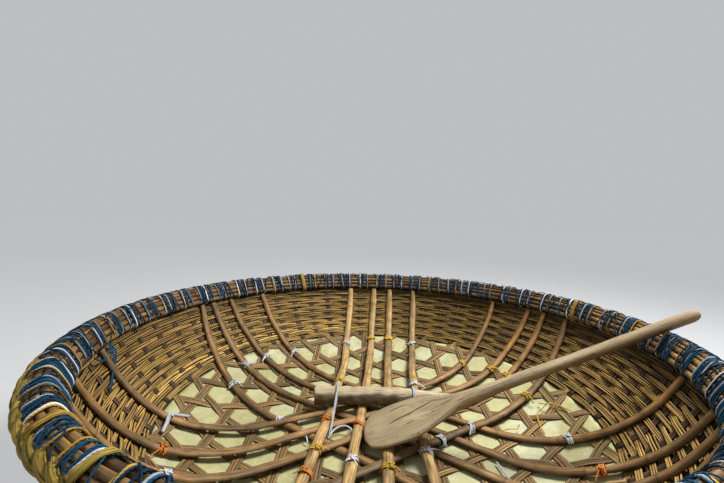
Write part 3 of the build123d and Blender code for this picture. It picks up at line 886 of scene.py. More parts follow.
def rim_turns(sizes, colours):
    """Turns of cord round the bundle, in groups: closed loops on the rounded square, each leaning
    to one side by angle = start + lean * sin(turn + phase). The far ones are darker with painted shade."""
    rng = np.random.default_rng(77)
    shades = {"blue": colours.blue, "white": colours.white, "yellow": colours.yellow}
    kinds = rng.permutation(np.arange(RIM_GROUP_COUNT) % len(RIM_GROUPS))
    rows, starts = [], []
    for group, kind in enumerate(kinds):
        for row in RIM_GROUPS[kind]:
            rows.append(row)
            starts.append(2 * np.pi * group / RIM_GROUP_COUNT + rng.uniform(-0.008, 0.008) * (row[0] == 0))
    count = len(rows)
    place, lean, wide = (np.array([row[i] for row in rows]) / 1000 for i in (0, 1, 3))
    place = place + rng.normal(0, 0.0016, count)
    lean = lean * rng.uniform(0.6, 1.9, count) + rng.normal(0, 0.004, count)
    angles = (np.array(starts) + place / RIM_CORD_RADIUS)[:, None]
    turn = turns(32)
    phase = rng.normal(0.9, 0.5, (count, 1))
    angle = angles + lean[:, None] / RIM_CORD_RADIUS * np.sin(turn + phase)
    run, lift = round_bundle(turn, rng.uniform(0.0, 0.0018, (count, 1)))
    x, y = polar(run, angle)
    tint = np.array([shades[row[2]] for row in rows]) * np.exp(rng.normal(-0.1, 0.38, (count, 1)))
    # Painted shade: the turns on the far side of the rim are darker.
    tint = tint * (1 - 0.34 * smooth(np.sin(starts), 0.60, 0.92))[:, None]
    tint = mottle(tint[:, None, :], 0.20, 78, (turn * 0.02, angle * 9), 0.03)
    half = (wide * rng.uniform(0.62, 1.1, count) * sizes.cord_scale / 2)[:, None]
    ups = bundle_out(angle, turn)
    return carry(lay(x, y, lift), ups, half, 0.0021, oval(6), tint, closed=True, edge=0.5)


def rim_spirals(sizes, colours):
    """Cords that wind along the whole rim over the turns: turn = rounds * angle + phase."""
    rng = np.random.default_rng(78)
    rounds = np.array([47, -41, 33])[:, None]
    angle = turns(1260)
    phase = rng.uniform(0, 2 * np.pi, (3, 1))
    turn = rounds * angle + phase + 0.9 * np.sin(angle * 9 + phase) + 0.5 * np.sin(angle * 23 + phase * 3)
    run, lift = round_bundle(turn, 0.0028)
    x, y = polar(run, angle)
    # Painted shade: two of the three spirals are made near black, standing for the dark shade between the
    # turns.
    tint = np.array(colours.blue) * np.array([0.8, 0.22, 0.35])[:, None, None]
    tint = mottle(tint, 0.15, 79, (angle * 3, phase), 0.2)
    half = sizes.cord_scale * np.array([0.0029, 0.0024, 0.0026])[:, None]
    return carry(lay(x, y, lift), bundle_out(angle, turn), half, 0.0017, oval(5), tint, closed=True)


def straw_loops(base):
    """Flat wisps of straw round the bundle here and there, where the border is tied to it."""
    start = np.radians([row[0] for row in STRAW_LOOPS])[:, None]
    lean = np.array([row[1] for row in STRAW_LOOPS])[:, None]
    start = np.concatenate([start, start + 0.011])
    lean = np.concatenate([lean, lean * 0.7])
    turn = turns(44)
    angle = start + lean * np.sin(turn + 0.9)
    number = np.arange(len(start))[:, None] * 3.1
    run, lift = round_bundle(turn, 0.0045 + 0.0012 * ripple(94, (turn * 0.05, number), 0.05))
    x, y = polar(run, angle)
    half = 0.0068 * (1 + 0.2 * ripple(95, (turn * 0.05, number), 0.06))
    tint = tones(base, len(start), 96, 0.10)
    tint = mottle(tint, 0.2, 97, (turn * 0.05, number), 0.03)
    return carry(lay(x, y, lift), bundle_out(angle, turn), half, 0.0032, oval(8, 0.8), tint, closed=True)


def straw_border(base):
    """Three thick strands of straw laid round each other outside the rim:
    centre = border's line + 10.4 mm turned by 45 rounds of the angle."""
    strands = 3
    angle = turns(1080)
    phase = 2 * np.pi * np.arange(strands)[:, None] / strands
    turn = BORDER_ROUNDS * angle + phase + 0.5 * np.sin(7 * angle)
    shape = (np.cos(angle), np.sin(angle), phase)
    out = 0.0104 * (1 + 0.16 * ripple(90, shape, 0.09))
    run = BORDER_RUN + out * np.sin(turn)
    lift = BORDER_LIFT + out * np.cos(turn)
    x, y = polar(run, angle)
    half = 0.0118 * (1 + 0.15 * ripple(91, shape, 0.05))
    tint = mottle(tones(base, strands, 92, 0.08), 0.22, 93, shape, 0.10)
    return carry(lay(x, y, lift), inward(x, y), half, half, oval(10), tint, closed=True)


def through(points, count, closed=False):
    """Smooth line through points: a cubic between each two, whose slope at a point is half the
    step from the point before it to the one after it."""
    points = np.array(points)
    spans = len(points) if closed else len(points) - 1
    t = np.linspace(0, spans, count, endpoint=not closed)
    index = np.minimum(t.astype(int), spans - 1)
    t = (t - index)[:, None]
    around = [index - 1, index, index + 1, index + 2]
    if closed:
        a, b, c, d = (points[i % len(points)] for i in around)
    else:
        a, b, c, d = (points[np.clip(i, 0, len(points) - 1)] for i in around)
    return 0.5 * (2 * b + (c - a) * t + (2 * a - 5 * b + 4 * c - d) * t**2 + (3 * b - a - 3 * c + d) * t**3)


# Ties of the ribs: rib, place along it, turn of the loop from square to it in degrees,
# reach below the rib's flat side, colour, number of turns
TIES = [
    ("b1", -0.744, 10, 0.005, "white", 3),
    ("b2", -0.837, -8, 0.005, "white", 3),
    ("b3", -0.841, 6, 0.005, "white", 2),
    ("b4", -0.779, 12, 0.005, "white", 2),
    ("a1", 0.790, -6, 0.005, "white", 2),
    ("a4", 0.827, 14, 0.005, "white", 2),
    ("a4", 0.362, -12, 0.018, "white", 3),
    ("b1", -0.376, 8, 0.005, "white", 2),
    ("b1", -0.215, -14, 0.005, "white", 4),
    ("a2", -0.282, 20, 0.018, "white", 3),
    ("c1", -0.846, -10, 0.005, "white", 2),
    ("c3", -0.863, 8, 0.005, "white", 3),
    ("c4", 0.340, -24, 0.018, "white", 3),
    ("b4", 0.733, 6, 0.005, "white", 3),
    ("c4", 0.157, 16, 0.018, "white", 3),
    ("a4", -0.205, -10, 0.018, "white", 3),
    ("a2", 0.871, 8, 0.005, "yellow", 2),
    ("a3", 0.880, -10, 0.005, "yellow", 3),
    ("a1", -0.237, 18, 0.018, "yellow", 3),
    ("a3", -0.308, -16, 0.018, "yellow", 3),
    ("a1", 0.360, 30, 0.018, "yellow", 2),
    ("c1", 0.751, 8, 0.005, "yellow", 2),
    ("c2", 0.816, -10, 0.005, "yellow", 3),
    ("c3", 0.821, 12, 0.005, "yellow", 3),
    ("c4", 0.736, -6, 0.005, "yellow", 4),
    ("c2", -0.871, 10, 0.005, "orange", 3),
    ("a1", -0.368, -14, 0.018, "orange", 3),
    ("a1", -0.030, 12, 0.018, "orange", 4),
    ("a2", -0.045, -18, 0.018, "orange", 3),
    ("b3", 0.856, 8, 0.005, "orange", 3),
    ("b2", 0.838, -8, 0.005, "yellow", 2),
    ("a2", -0.760, 10, 0.005, "white", 2),
    ("a3", -0.800, -10, 0.005, "yellow", 2),
    ("a4", -0.790, 8, 0.005, "white", 2),
    ("a1", -0.770, 8, 0.005, "yellow", 2),
    ("b1", 0.800, 8, 0.005, "white", 2),
    ("c4", -0.800, 8, 0.005, "orange", 2),
]

# Strands of cord that lie loose in the bowl or on it: colour, half width, and points of the
# flat plan with their lift
LOOSE = [
    ("blue", 0.0046, [
        (-1.236, -0.252, 0.030), (-1.205, -0.246, 0.034), (-1.165, -0.263, 0.026),
        (-1.119, -0.322, 0.026), (-1.062, -0.383, 0.024),
    ]),
    ("blue", 0.0040, [
        (-1.240, -0.256, 0.028), (-1.200, -0.262, 0.032), (-1.150, -0.292, 0.026),
        (-1.085, -0.352, 0.025),
    ]),
    ("blue", 0.0042, [
        (-1.238, -0.246, 0.030), (-1.210, -0.290, 0.036), (-1.182, -0.331, 0.030),
        (-1.176, -0.380, 0.034), (-1.185, -0.430, 0.040),
    ]),
    ("yellow", 0.0034, [
        (0.865, -0.004, 0.022), (0.849, 0.037, 0.026), (0.824, 0.084, 0.030),
        (0.799, 0.095, 0.034), (0.784, 0.120, 0.026), (0.778, 0.139, 0.020),
    ]),
    ("yellow", 0.0034, [
        (0.799, 0.095, 0.030), (0.768, 0.086, 0.026), (0.736, 0.071, 0.020),
        (0.716, 0.010, 0.018), (0.707, -0.055, 0.016),
    ]),
    ("white", 0.0042, [
        (0.449, -0.201, 0.020), (0.458, -0.266, 0.020), (0.466, -0.323, 0.020),
        (0.470, -0.365, 0.020),
    ]),
    ("white", 0.0048, [
        (-0.210, -0.118, 0.036), (-0.188, -0.066, 0.042), (-0.165, -0.041, 0.044),
        (-0.140, -0.036, 0.044), (-0.117, -0.053, 0.042), (-0.107, -0.082, 0.040),
    ]),
    ("white", 0.0070, [
        (-0.803, -0.141, 0.036), (-0.837, -0.174, 0.038), (-0.863, -0.216, 0.040),
        (-0.845, -0.260, 0.032), (-0.830, -0.308, 0.026),
    ]),
    ("orange", 0.0022, [
        (0.551, 0.010, 0.020), (0.580, 0.000, 0.030), (0.610, -0.001, 0.026),
        (0.630, 0.016, 0.034),
    ]),
]

# Loops of cord on the log: place along it, turns, colour
LOG_LOOPS = [(0.165, 1, "white"), (0.715, 2, "white")]
LOG_LOOP_PITCH = 0.007
LOG_LOOP_SIZE = (0.100, 0.084)  # across and up, for the log's full girth
LOG_LOOP_OUTLINE = [(-0.44, -0.03), (0.44, -0.03), (0.56, 0.42), (0.30, 0.98), (-0.17, 1.05), (-0.54, 0.55)]

# Points of the long loop from the log down to the ribs and back
LONG_LOOP = [
    (-0.187, 0.168, 0.146), (-0.188, 0.120, 0.150), (-0.190, 0.080, 0.128), (-0.192, 0.020, 0.098),
    (-0.195, -0.060, 0.070), (-0.197, -0.112, 0.056), (-0.203, -0.112, 0.056), (-0.199, -0.058, 0.071),
    (-0.197, 0.022, 0.099), (-0.194, 0.081, 0.129), (-0.193, 0.121, 0.149), (-0.192, 0.167, 0.145),
]


def tie_frames(rows):
    """Middle, ahead, side and up of the ribs' seats at the ties, from two near points of each."""
    ends = []
    for step in (-0.001, 0.001):
        spots = []
        for name, place in rows:
            x, y, lift = rib_path(RIB_ROWS[name], np.array([[place + step]]))
            spots.append((x[0, 0], y[0, 0], lift[0, 0]))
        ends.append(np.array(spots))
    points = [lay(end[:, 0], end[:, 1], end[:, 2]) for end in ends]
    middle = (points[0] + points[1]) / 2
    ahead = unit(points[1] - points[0])
    flat = (ends[0] + ends[1]) / 2
    side = unit(np.cross(ahead, inward(flat[:, 0], flat[:, 1])))
    return middle, ahead, side, np.cross(side, ahead)


def rib_ties(sizes, colours):
    """Each tie: turns on an oval round the rib, a knot on top as a trefoil, sin t + 2 sin 2t,
    cos t - 2 cos 2t, -sin 3t, and two short ends that drop by the square of their length."""
    rng = np.random.default_rng(101)
    shades = {"white": colours.white, "yellow": colours.yellow, "orange": colours.orange}
    frames = tie_frames([row[:2] for row in TIES])
    base = np.array([shades[row[4]] for row in TIES]) * np.exp(rng.normal(0.34, 0.10, (len(TIES), 1)))
    which = np.repeat(np.arange(len(TIES)), [row[5] for row in TIES])
    order = np.concatenate([np.arange(row[5]) - (row[5] - 1) / 2 for row in TIES])
    middle, ahead, side, up = (axis[which][:, None, :] for axis in frames)
    slant = np.radians([TIES[i][2] for i in which]) + rng.normal(0, 0.12, len(which))
    below = np.array([TIES[i][3] for i in which])[:, None]
    across = side * np.cos(slant)[:, None, None] + ahead * np.sin(slant)[:, None, None]
    turn = turns(26)
    broad = np.array([RIB_ROWS[TIES[i][0]][4] for i in which])[:, None]
    wide = sizes.rib_width / 2 * broad + 0.0030 + rng.uniform(0, 0.0012, len(which))[:, None]
    top = sizes.rib_height + 0.0024 + rng.uniform(0, 0.0012, len(which))[:, None]
    tall, centre = (top + below) / 2, (top - below) / 2
    reach = powered(np.cos(turn), 0.75) * wide
    rise = centre + powered(np.sin(turn), 0.85) * tall
    shift = (order[:, None] * sizes.tie_width * 1.1 + rng.normal(0, 0.0008, (len(which), 1)))[..., None]
    loops = middle + across * reach[..., None] + up * rise[..., None] + ahead * shift
    out = unit(across * reach[..., None] + up * (rise - centre)[..., None])
    tint = base[which][:, None]
    skins = [carry(loops, out, sizes.tie_width / 2, 0.0019, oval(6), tint, closed=True, edge=0.6)]
    middle, ahead, side, up = (axis[:, None, :] for axis in frames)
    knot = middle + up * (sizes.rib_height + 0.0050) + side * rng.uniform(-0.010, 0.010, (len(TIES), 1, 1))
    t = 2 * np.pi * np.arange(40)[None, :, None] / 40
    size = rng.uniform(0.0036, 0.0050, (len(TIES), 1, 1))
    curl = ahead * (np.sin(t) + 2 * np.sin(2 * t)) + side * (np.cos(t) - 2 * np.cos(2 * t))
    curl = knot + size * (curl - up * 0.9 * np.sin(3 * t))
    skins.append(carry(curl, up, 0.0032, 0.0024, oval(5), base[:, None], closed=True, edge=0.6))
    s = np.linspace(0, 1, 9)[None, :, None]
    for sign in (-1, 1):
        aim = rng.uniform(-1.1, 1.1, (len(TIES), 1, 1))
        length = rng.uniform(0.026, 0.056, (len(TIES), 1, 1))
        heading = side * sign * np.cos(aim) + ahead * np.sin(aim)
        bend = rng.normal(0, 0.35, (len(TIES), 1, 1)) * length
        tail = knot + heading * s * length + ahead * bend * s**2 - up * s**2 * (0.010 + length * 0.22)
        skins.append(carry(tail, up, 0.0031, 0.0016, oval(5), base[:, None], edge=0.6))
    return join(skins)


def loose_cord(colours):
    """Loose strands, each a smooth line through its points of the flat plan, laid on the hull."""
    skins = []
    for name, half, points in LOOSE:
        x, y, lift = through(points, 12 * len(points)).T[:, None, :]
        tint = getattr(colours, name)
        skins.append(carry(lay(x, y, lift), inward(x, y), half, 0.6 * half, oval(6), tint))
    return join(skins)


def log_taper(t):
    """Share of the log's full girth along it, by a table from its thick end to its thin one."""
    return np.interp(t, [0, 0.6, 1.0], [1.0, 0.92, 0.52])


def log_cord(colours):
    """Loops round the log at two places, and one long loop from the first down to the ribs."""
    skins = []
    cosine, sine = math.cos(LOG_TURN), math.sin(LOG_TURN)
    ahead = np.array([cosine, sine, 0.0])
    side = np.array([-sine, cosine, 0.0])
    broad, tall = LOG_LOOP_SIZE
    for t, rounds, name in LOG_LOOPS:
        girth = float(log_taper(t))
        for number in range(rounds):
            place = (t - 0.5) * LOG_LENGTH + (number - (rounds - 1) / 2) * LOG_LOOP_PITCH
            ring = [
                np.array(LOG_MIDDLE) + ahead * (place + 0.004 * u) + side * u * broad * girth
                + np.array([0, 0, v * tall * girth])
                for u, v in LOG_LOOP_OUTLINE
            ]
            path = through(ring, 48, closed=True)[None]
            out = unit(path - path.mean(axis=1, keepdims=True))
            skins.append(carry(path, out, 0.0032, 0.0016, oval(6), getattr(colours, name), closed=True))
    path = through(LONG_LOOP, 90, closed=True)[None]
    ups = np.array([0.0, -0.35, 0.94])
    skins.append(carry(path, ups, 0.0021, 0.0017, oval(6), colours.white, closed=True))
    return join(skins)


def bowl(outer_lift, inner_lift, top_run, rings, around, bumps, tint):
    """Closed bowl: an outer and an inner face of the hull's form, joined at the top, with a pole."""
    run = np.linspace(0, 1, rings + 1)[1:, None] * top_run
    x, y = polar(run, turns(around))
    outer = lay(x, y, outer_lift + bumps(x, y))
    inner = lay(x, y, inner_lift + bumps(x, y))
    poles = [[0.0, 0.0, wall(0.0, lift)[1]] for lift in (outer_lift, inner_lift)]
    points = np.concatenate([outer.reshape(-1, 3), inner[::-1].reshape(-1, 3), poles])
    index = wrapped(np.arange(2 * rings * around).reshape(2 * rings, around))
    bottom = np.stack([index[0, :-1], index[0, 1:], np.full(around, len(points) - 2)], -1)
    top = np.stack([index[-1, 1:], index[-1, :-1], np.full(around, len(points) - 1)], -1)
    quads = np.roll(cells(index), -1, axis=-1)
    faces = {4: quads.reshape(-1, 4), 3: np.concatenate([bottom, top])}
    places = {corners: points[:, :2][face] for corners, face in faces.items()}
    return Skin(points, faces, places, np.broadcast_to(np.array(tint), points.shape))


def corner_cut(outline, times):
    """Rounds a closed outline: each corner gives way to points at a quarter of its two sides."""
    for _ in range(times):
        after = np.roll(outline, -1, axis=0)
        pair = np.stack([0.75 * outline + 0.25 * after, 0.25 * outline + 0.75 * after], axis=1)
        outline = pair.reshape(-1, 2)
    return outline


LOG_OUTLINE = np.array([(-0.4, 0.0), (0.4, 0.0), (0.5, 0.42), (0.27, 0.94), (-0.16, 1.0), (-0.48, 0.55)])


def split_log(base):
    """Split log along X: an outline with its corners cut, sized along the log, roughened by
    long grooves, its ends drawn in over the last few millimetres and closed."""
    outline = corner_cut(LOG_OUTLINE, 3)
    t = np.concatenate([[0, 0, 0.003], np.linspace(0.008, 0.992, 150), [0.997, 1, 1]])[:, None]
    ends = np.concatenate([[0.02, 0.93, 0.985], np.ones(150), [0.985, 0.93, 0.02]])[:, None]
    girth = log_taper(t) * ends
    middle = np.array([0.0, 0.42])
    flat = outline[None, :, :] - middle
    turn = np.arctan2(flat[..., 1], flat[..., 0])
    shape = (t * LOG_LENGTH, np.cos(turn) * 0.05, np.sin(turn) * 0.05)
    grooves = ripple(6, (shape[0] * 0.12, shape[1], shape[2]), 0.012)
    rough = 1 + 0.030 * ripple(5, shape, 0.05) + 0.016 * grooves
    rough = np.where(flat[..., 1] < -0.3, np.minimum(rough, 1.0), rough)
    width = LOG_WIDTH * girth * flat[..., 0] * rough
    height = LOG_HEIGHT * (middle[1] * log_taper(t) + girth * flat[..., 1] * rough)
    ragged = 0.003 * ripple(7, (turn * 0.02, turn * 0.01), 0.02) * (np.abs(t - 0.5) > 0.47)
    length = LOG_LENGTH * (t - 0.5) * 0.99 + ragged
    cosine, sine = math.cos(LOG_TURN), math.sin(LOG_TURN)
    x = LOG_MIDDLE[0] + length * cosine - width * sine
    y = LOG_MIDDLE[1] + length * sine + width * cosine
    points = np.stack([x, y, LOG_MIDDLE[2] + height], -1)
    return tube_skin(points, log_tint(base, t, turn))


def log_tint(base, t, turn):
    """Tan over the split top, dark brown below as painted shade: mixed by the height of the outline's
    point.
    """
    line = np.sin(turn) + 0.10 * ripple(9, (t * LOG_LENGTH, t * 0), 0.10)
    # Painted shade: the lower faces darken and turn browner below the top.
    under = smooth(line, 0.78, 0.52)
    shade = 1 - 0.80 * under + (0.10 - 0.02 * under) * ripple(8, (t * LOG_LENGTH, turn * 0.03), 0.05)
    return np.array(base) * shade[..., None] * (1 - np.array([0.0, 0.08, 0.22]) * under[..., None])


def tube_skin(points, tint):
    """Closed tube through rings of points (stations, corners), its two ends as fans of one face."""
    stations, corners = points.shape[:2]
    index = np.arange(stations * corners).reshape(stations, corners)
    ring = wrapped(index)
    middle = points.mean(axis=1)
    length = np.concatenate([[0.0], np.cumsum(np.linalg.norm(np.diff(middle, axis=0), axis=1))])
    around = np.roll(points, -1, axis=1) - points
    girth = np.concatenate([[0.0], np.cumsum(np.linalg.norm(around, axis=2).max(axis=0))])
    lengthwise = np.broadcast_to(length[:, None], ring.shape)
    crosswise = np.broadcast_to(girth[None, :], ring.shape)
    spots = np.stack([cells(lengthwise), cells(crosswise)], -1)
    quads = np.roll(cells(ring), -1, axis=-1)
    faces = {4: quads.reshape(-1, 4), corners: np.stack([index[0], index[-1, ::-1]])}
    places = {4: np.roll(spots, -1, axis=-2).reshape(-1, 4, 2), corners: np.zeros((2, corners, 2))}
    return Skin(points.reshape(-1, 3), faces, places, tint.reshape(-1, 3))


# Half width and half thickness of the paddle along it, in metres from the tip
PADDLE_HALF_WIDTH = [
    (0.000, 0.030), (0.006, 0.047), (0.023, 0.076), (0.055, 0.091), (0.092, 0.0995), (0.140, 0.1020),
    (0.185, 0.1020), (0.230, 0.096), (0.270, 0.086), (0.310, 0.071), (0.345, 0.055), (0.395, 0.0355),
    (0.440, 0.0295), (0.587, 0.0228), (1.330, 0.0222), (1.352, 0.0180), (1.360, 0.0100),
]
PADDLE_HALF_THICK = [
    (0.000, 0.0065), (0.006, 0.0098), (0.060, 0.0110), (0.270, 0.0110), (0.330, 0.0160), (0.395, 0.0280),
    (0.440, 0.0285), (0.587, 0.0228), (1.330, 0.0222), (1.352, 0.0180), (1.360, 0.0100),
]


def paddle(base):
    """Leaf blade that grows into a round shaft: squared ovals whose half width and thickness
    follow two tables along the paddle, with a slight bow and dents, rolled, pitched and turned.
    The shaft is darker below, a painted shade, and towards its far end, where it is worn most."""
    parts = [(0, 0.03, 14), (0.035, 1.32, 210), (1.325, 1.36, 14)]
    x = np.concatenate([np.linspace(*part) for part in parts])
    table = [np.array(rows).T for rows in (PADDLE_HALF_WIDTH, PADDLE_HALF_THICK)]
    blur = np.hanning(9) / np.hanning(9).sum()
    wide, thick = (np.convolve(np.pad(np.interp(x, *t), 4, mode="edge"), blur, "valid") for t in table)
    turn = turns(28)
    square = (0.50 + 0.50 * smooth(x, 0.26, 0.42))[:, None]
    across = powered(np.cos(turn), square)
    rise = powered(np.sin(turn), square)
    dents = ripple(11, (x[:, None], across * 0.05, rise * 0.05), 0.12)
    blade = 1 - smooth(x, 0.30, 0.42)[:, None]
    y = wide[:, None] * across * (1 + 0.018 * dents)
    z = thick[:, None] * rise * (1 + (0.03 + 0.05 * blade) * dents) + 0.0028 * blade
    bow = 0.0025 * ripple(12, (x, x * 0), 0.6)[:, None] * smooth(x, 0.4, 0.6)[:, None]
    local = np.stack([x[:, None] + 0 * y, y + bow, z], -1)
    roll, pitch, heading = (math.radians(v) for v in PADDLE_TURNS)
    points = turned(local, roll, pitch, heading) + np.array(PADDLE_TIP)
    edge = smooth(np.abs(across), 0.8, 1.0) * blade
    shade = 1 + 0.12 * ripple(13, (x[:, None], across * 0.1), 0.2) - 0.18 * edge
    # Painted shade: the shaft's lower side is darker and browner.
    under = smooth(rise, 0.55, -0.4)[..., None] * (1 - blade)[..., None]
    shade_and_wear = 1 - under * np.array([0.42, 0.52, 0.64])
    held = smooth(x[:, None] + 0.05 * dents, 0.72, 1.24)[..., None] * (1 - blade)[..., None]
    shade_and_wear = shade_and_wear * (1 - held * np.array([0.22, 0.30, 0.38]))
    return tube_skin(points, np.array(base) * shade[..., None] * shade_and_wear)


def turned(points, roll, pitch, heading):
    """Points rolled about X, pitched up from X and turned about Z, as three rotation matrices."""
    cosine, sine = math.cos(roll), math.sin(roll)
    about_x = np.array([[1, 0, 0], [0, cosine, -sine], [0, sine, cosine]])
    cosine, sine = math.cos(pitch), math.sin(pitch)
    about_y = np.array([[cosine, 0, -sine], [0, 1, 0], [sine, 0, cosine]])
    cosine, sine = math.cos(heading), math.sin(heading)
    about_z = np.array([[cosine, -sine, 0], [sine, cosine, 0], [0, 0, 1]])
    return points @ (about_z @ about_y @ about_x).T


# Operators


class MakeHull(bpy.types.Operator):
    """Tarred skin and the sacking that lies in it"""

    bl_idname = "coracle.make_hull"
    bl_label = "Hull skin and sacking"

    def execute(self, context):
        colours = context.scene.coracle_colours

        def tar_bumps(x, y):
            """0.4 mm, the weave's print of 0.5 mm on the wall as sin(80 angle) * sin(2 pi run /
            58 mm), and a ripple of 0.4 mm."""
            run = np.hypot(x, y)
            weave = np.sin(np.arctan2(y, x) * 80) * np.sin(2 * np.pi * run / 0.058)
            return 0.0004 + 0.0005 * weave * smooth(run, 0.85, 0.95) + 0.0004 * ripple(20, (x, y), 0.12)

        def sack_bumps(x, y):
            """Two ripples, of 0.5 mm over 110 mm and 0.4 mm over 50 mm."""
            return 0.0005 * ripple(21, (x, y), 0.11) + 0.0004 * ripple(22, (x, y), 0.05)

        skin = bowl(*SKIN_FACES, RIM_RUN, rings=50, around=180, bumps=tar_bumps, tint=paint(30, 28, 26))
        make_piece("tarred_hull", skin, tar(), "hull", ["hull_skin"])
        skin = bowl(*SACK_FACES, SACK_RUN, rings=60, around=150, bumps=sack_bumps, tint=colours.sack)
        piece = make_piece("sack_sheet", skin, sacking(), "hull", ["sack_liner"])
        return {"FINISHED"}


class MakeFloor(bpy.types.Operator):
    """Open hexagonal weave of the floor, one piece for each direction"""

    bl_idname = "coracle.make_floor"
    bl_label = "Floor weave"

    def execute(self, context):
        scene = context.scene
        finish = bamboo("floor_splits", gloss=0.55)
        for direction in "abc":
            skin = floor_splits(direction, scene.coracle_sizes, scene.coracle_colours.floor)
            node = f"floor_weave_{direction}"
            make_piece(f"floor_splits_{direction}", skin, finish, "hull", [node])
        return {"FINISHED"}


class MakeSides(bpy.types.Operator):
    """Stakes and courses of the side weave"""

    bl_idname = "coracle.make_sides"
    bl_label = "Side weave"

    def execute(self, context):
        scene = context.scene
        colours = scene.coracle_colours
        skin = side_stakes(colours.stake)
        finish = bamboo("stake_splits", gloss=0.6)
        make_piece("stake_splits", skin, finish, "hull", ["side_stakes"])
        finish = bamboo("side_splits", gloss=0.48, lines=520.0)
        for level in range(len(COURSES)):
            skin = side_course(level, scene.coracle_sizes, colours.side)
            node = f"side_course_{level + 1}"
            make_piece(f"side_splits_{level + 1}", skin, finish, "hull", [node])
        return {"FINISHED"}


class MakeRibs(bpy.types.Operator):
    """Twelve split canes over the weave"""

    bl_idname = "coracle.make_ribs"
    bl_label = "Ribs"

    def execute(self, context):
        scene = context.scene
        finish = bamboo("rib_cane", gloss=0.40, lines=170.0, contrast=1.6)
        colours = scene.coracle_colours
        for row in RIBS:
            base = colours.pale_rib if row[0][0] == "a" else colours.rib
            skin = rib(row, scene.coracle_sizes, base, colours.aged_rib)
            make_piece(f"cane_rib_{row[0]}", skin, finish, "hull", [f"rib_{row[0]}"])
        skin = join([rib_ties(scene.coracle_sizes, colours), loose_cord(colours)])
        make_piece("rib_ties", skin, cord("tie_cord"), "hull")
        return {"FINISHED"}


class MakeRim(bpy.types.Operator):
    """Canes of the rim, the cord wound round them and the straw border"""

    bl_idname = "coracle.make_rim"
    bl_label = "Rim"

    def execute(self, context):
        scene = context.scene
        sizes, colours = scene.coracle_sizes, scene.coracle_colours
        finish = bamboo("rim_cane", gloss=0.40, lines=170.0, contrast=1.6)
        for node in sorted({row[0] for row in CANES}):
            skin = rim_canes(node, colours.cane, colours.aged_cane)
            make_piece(node.replace("rim_", "rim_canes_"), skin, finish, "hull", [node])
        skin = join([rim_turns(sizes, colours), rim_spirals(sizes, colours)])
        make_piece("rim_cord", skin, cord("rim_cord"), "hull", ["rim_lashings"])
        skin = join([straw_border(colours.straw), straw_loops(colours.straw)])
        make_piece("straw_border", skin, straw("straw"), "hull", ["rim_border"])
        return {"FINISHED"}


class MakeLog(bpy.types.Operator):
    """Split log across the ribs"""

    bl_idname = "coracle.make_log"
    bl_label = "Split log"

    def execute(self, context):
        skin = split_log(context.scene.coracle_colours.log)
        make_piece("old_split_log", skin, timber("split_log"), "hull", ["cross_log"])
        skin = log_cord(context.scene.coracle_colours)
        make_piece("log_cord", skin, cord("log_cord"), "hull")
        return {"FINISHED"}


class MakePaddle(bpy.types.Operator):
    """Wooden paddle"""

    bl_idname = "coracle.make_paddle"
    bl_label = "Paddle"

    def execute(self, context):
        skin = paddle(context.scene.coracle_colours.paddle)
        angles = [math.radians(degrees) for degrees in PADDLE_TURNS]
        across = turned(np.array([[0.0, 1.0, 0.0]]), *angles)[0]
        cracks = []
        for start, end, width in PADDLE_CRACKS:
            start, end = turned(np.array([start, end]), *angles) + np.array(PADDLE_TIP)
            cracks.append((start, end, across, width))
        finish = timber("paddle_wood", gloss=0.5, cracks=cracks)
        make_piece("wooden_paddle", skin, finish, "paddle", ["paddle"])
        return {"FINISHED"}


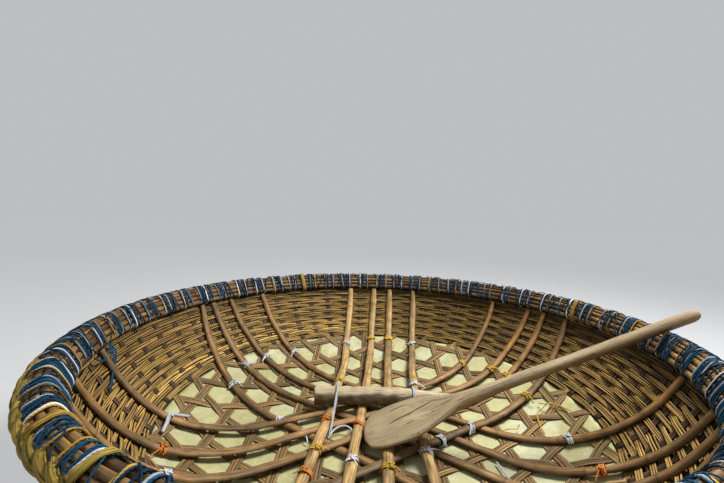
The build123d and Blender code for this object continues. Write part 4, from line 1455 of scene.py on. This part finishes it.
class MakeStage(bpy.types.Operator):
    """Floor at the waterline, soft lamps, world and camera"""

    bl_idname = "coracle.make_stage"
    bl_label = "Stage"

    def execute(self, context):
        scene = context.scene
        hole = float(wall(BASE + BILGE * math.acos(1 - WATERLINE / BILGE), 0.0)[0])
        radius = np.array([hole + 0.0004, *STAGE_RADII])[:, None]
        x, y = polar(radius, turns(STAGE_SIDES))
        grid = np.stack([x, y, np.full(x.shape, WATERLINE)], -1)
        index = wrapped(np.arange(x.size).reshape(x.shape))
        mesh = bpy.data.meshes.new("stage_floor")
        mesh.from_pydata(grid.reshape(-1, 3).tolist(), [], cells(index).reshape(-1, 4).tolist())
        finish = Finish("stage_floor", roughness=0.9, specular=0.2)
        finish.give("Base Color", (0.72, 0.73, 0.74, 1.0))
        glow = finish.add("ShaderNodeEmission", {}, {"Color": (0.80, 0.81, 0.82, 1.0)})
        seen = finish.add("ShaderNodeLightPath", out="Is Camera Ray") * 0.55
        both = finish.add("ShaderNodeMixShader", {}, {0: seen, 2: glow})
        finish.tree.links.new(finish.shader.outputs[0], both.link.node.inputs[1])
        finish.tree.links.new(both.link, finish.tree.nodes["Material Output"].inputs["Surface"])
        mesh.materials.append(finish.material)
        floor = bpy.data.objects.new("stage_floor", mesh)
        scene.collection.objects.link(floor)
        self.light(scene)
        self.look(scene)
        return {"FINISHED"}

    def light(self, scene):
        """A wide soft lamp overhead, a weaker one from the left, and an even sky."""
        for name, place, diameter, power in LAMPS:
            lamp = bpy.data.lights.new(name, "AREA")
            lamp.shape = "DISK"
            lamp.size = diameter
            lamp.energy = power
            holder = bpy.data.objects.new(name, lamp)
            holder.location = place
            aim = np.array(LAMP_AIM) - np.array(place)
            pitch = math.atan2(math.hypot(aim[0], aim[1]), -aim[2])
            heading = math.atan2(aim[1], aim[0]) - math.pi / 2
            holder.rotation_euler = (pitch, 0.0, heading)
            scene.collection.objects.link(holder)
        world = bpy.data.worlds.new("studio")
        world.use_nodes = True
        tree = world.node_tree
        sky = tree.nodes["Background"]
        seen = tree.nodes.new("ShaderNodeBackground")
        seen.inputs["Color"].default_value = (0.505, 0.515, 0.525, 1.0)
        sky.inputs["Color"].default_value = (0.92, 0.96, 1.0, 1.0)
        sky.inputs["Strength"].default_value = 0.22
        path = tree.nodes.new("ShaderNodeLightPath")
        both = tree.nodes.new("ShaderNodeMixShader")
        tree.links.new(path.outputs["Is Camera Ray"], both.inputs[0])
        tree.links.new(sky.outputs[0], both.inputs[1])
        tree.links.new(seen.outputs[0], both.inputs[2])
        tree.links.new(both.outputs[0], tree.nodes["World Output"].inputs["Surface"])
        scene.world = world

    def look(self, scene):
        """The camera, turned about Z, X and Z in that order, and the plain view transform."""
        lens = bpy.data.cameras.new("camera")
        lens.sensor_width = 36.0
        lens.lens = CAMERA_LENS
        camera = bpy.data.objects.new("camera", lens)
        camera.location = CAMERA_PLACE
        aim = Matrix.Identity(3)
        for degrees, axis in CAMERA_TURNS:
            aim = aim @ Matrix.Rotation(math.radians(degrees), 3, axis)
        camera.rotation_euler = aim.to_euler()
        scene.collection.objects.link(camera)
        scene.camera = camera
        scene.view_settings.view_transform = "Standard"


OPERATORS = [MakeHull, MakeFloor, MakeSides, MakeRibs, MakeRim, MakeLog, MakePaddle, MakeStage]


class CoraclePanel(bpy.types.Panel):
    """Lists the pieces, their sizes and their colours"""

    bl_idname = "VIEW3D_PT_coracle"
    bl_label = "Coracle"
    bl_space_type = "VIEW_3D"
    bl_region_type = "UI"
    bl_category = "Coracle"

    def draw(self, context):
        for maker in OPERATORS:
            self.layout.operator(maker.bl_idname)
        for group in (context.scene.coracle_sizes, context.scene.coracle_colours):
            for name in group.__annotations__:
                self.layout.prop(group, name)


CLASSES = [CoracleSizes, CoracleColours, *OPERATORS, CoraclePanel]


def register():
    """Adds the settings, operators and panel."""
    for item in CLASSES:
        bpy.utils.register_class(item)
    bpy.types.Scene.coracle_sizes = bpy.props.PointerProperty(type=CoracleSizes)
    bpy.types.Scene.coracle_colours = bpy.props.PointerProperty(type=CoracleColours)


def unregister():
    """Takes them away again, last one first."""
    del bpy.types.Scene.coracle_colours
    del bpy.types.Scene.coracle_sizes
    for item in reversed(CLASSES):
        bpy.utils.unregister_class(item)


def main():
    """Makes every piece in order."""
    register()
    for maker in OPERATORS:
        group, name = maker.bl_idname.split(".")
        getattr(getattr(bpy.ops, group), name)()
    bpy.context.view_layer.update()


if __name__ == "__main__":
    main()
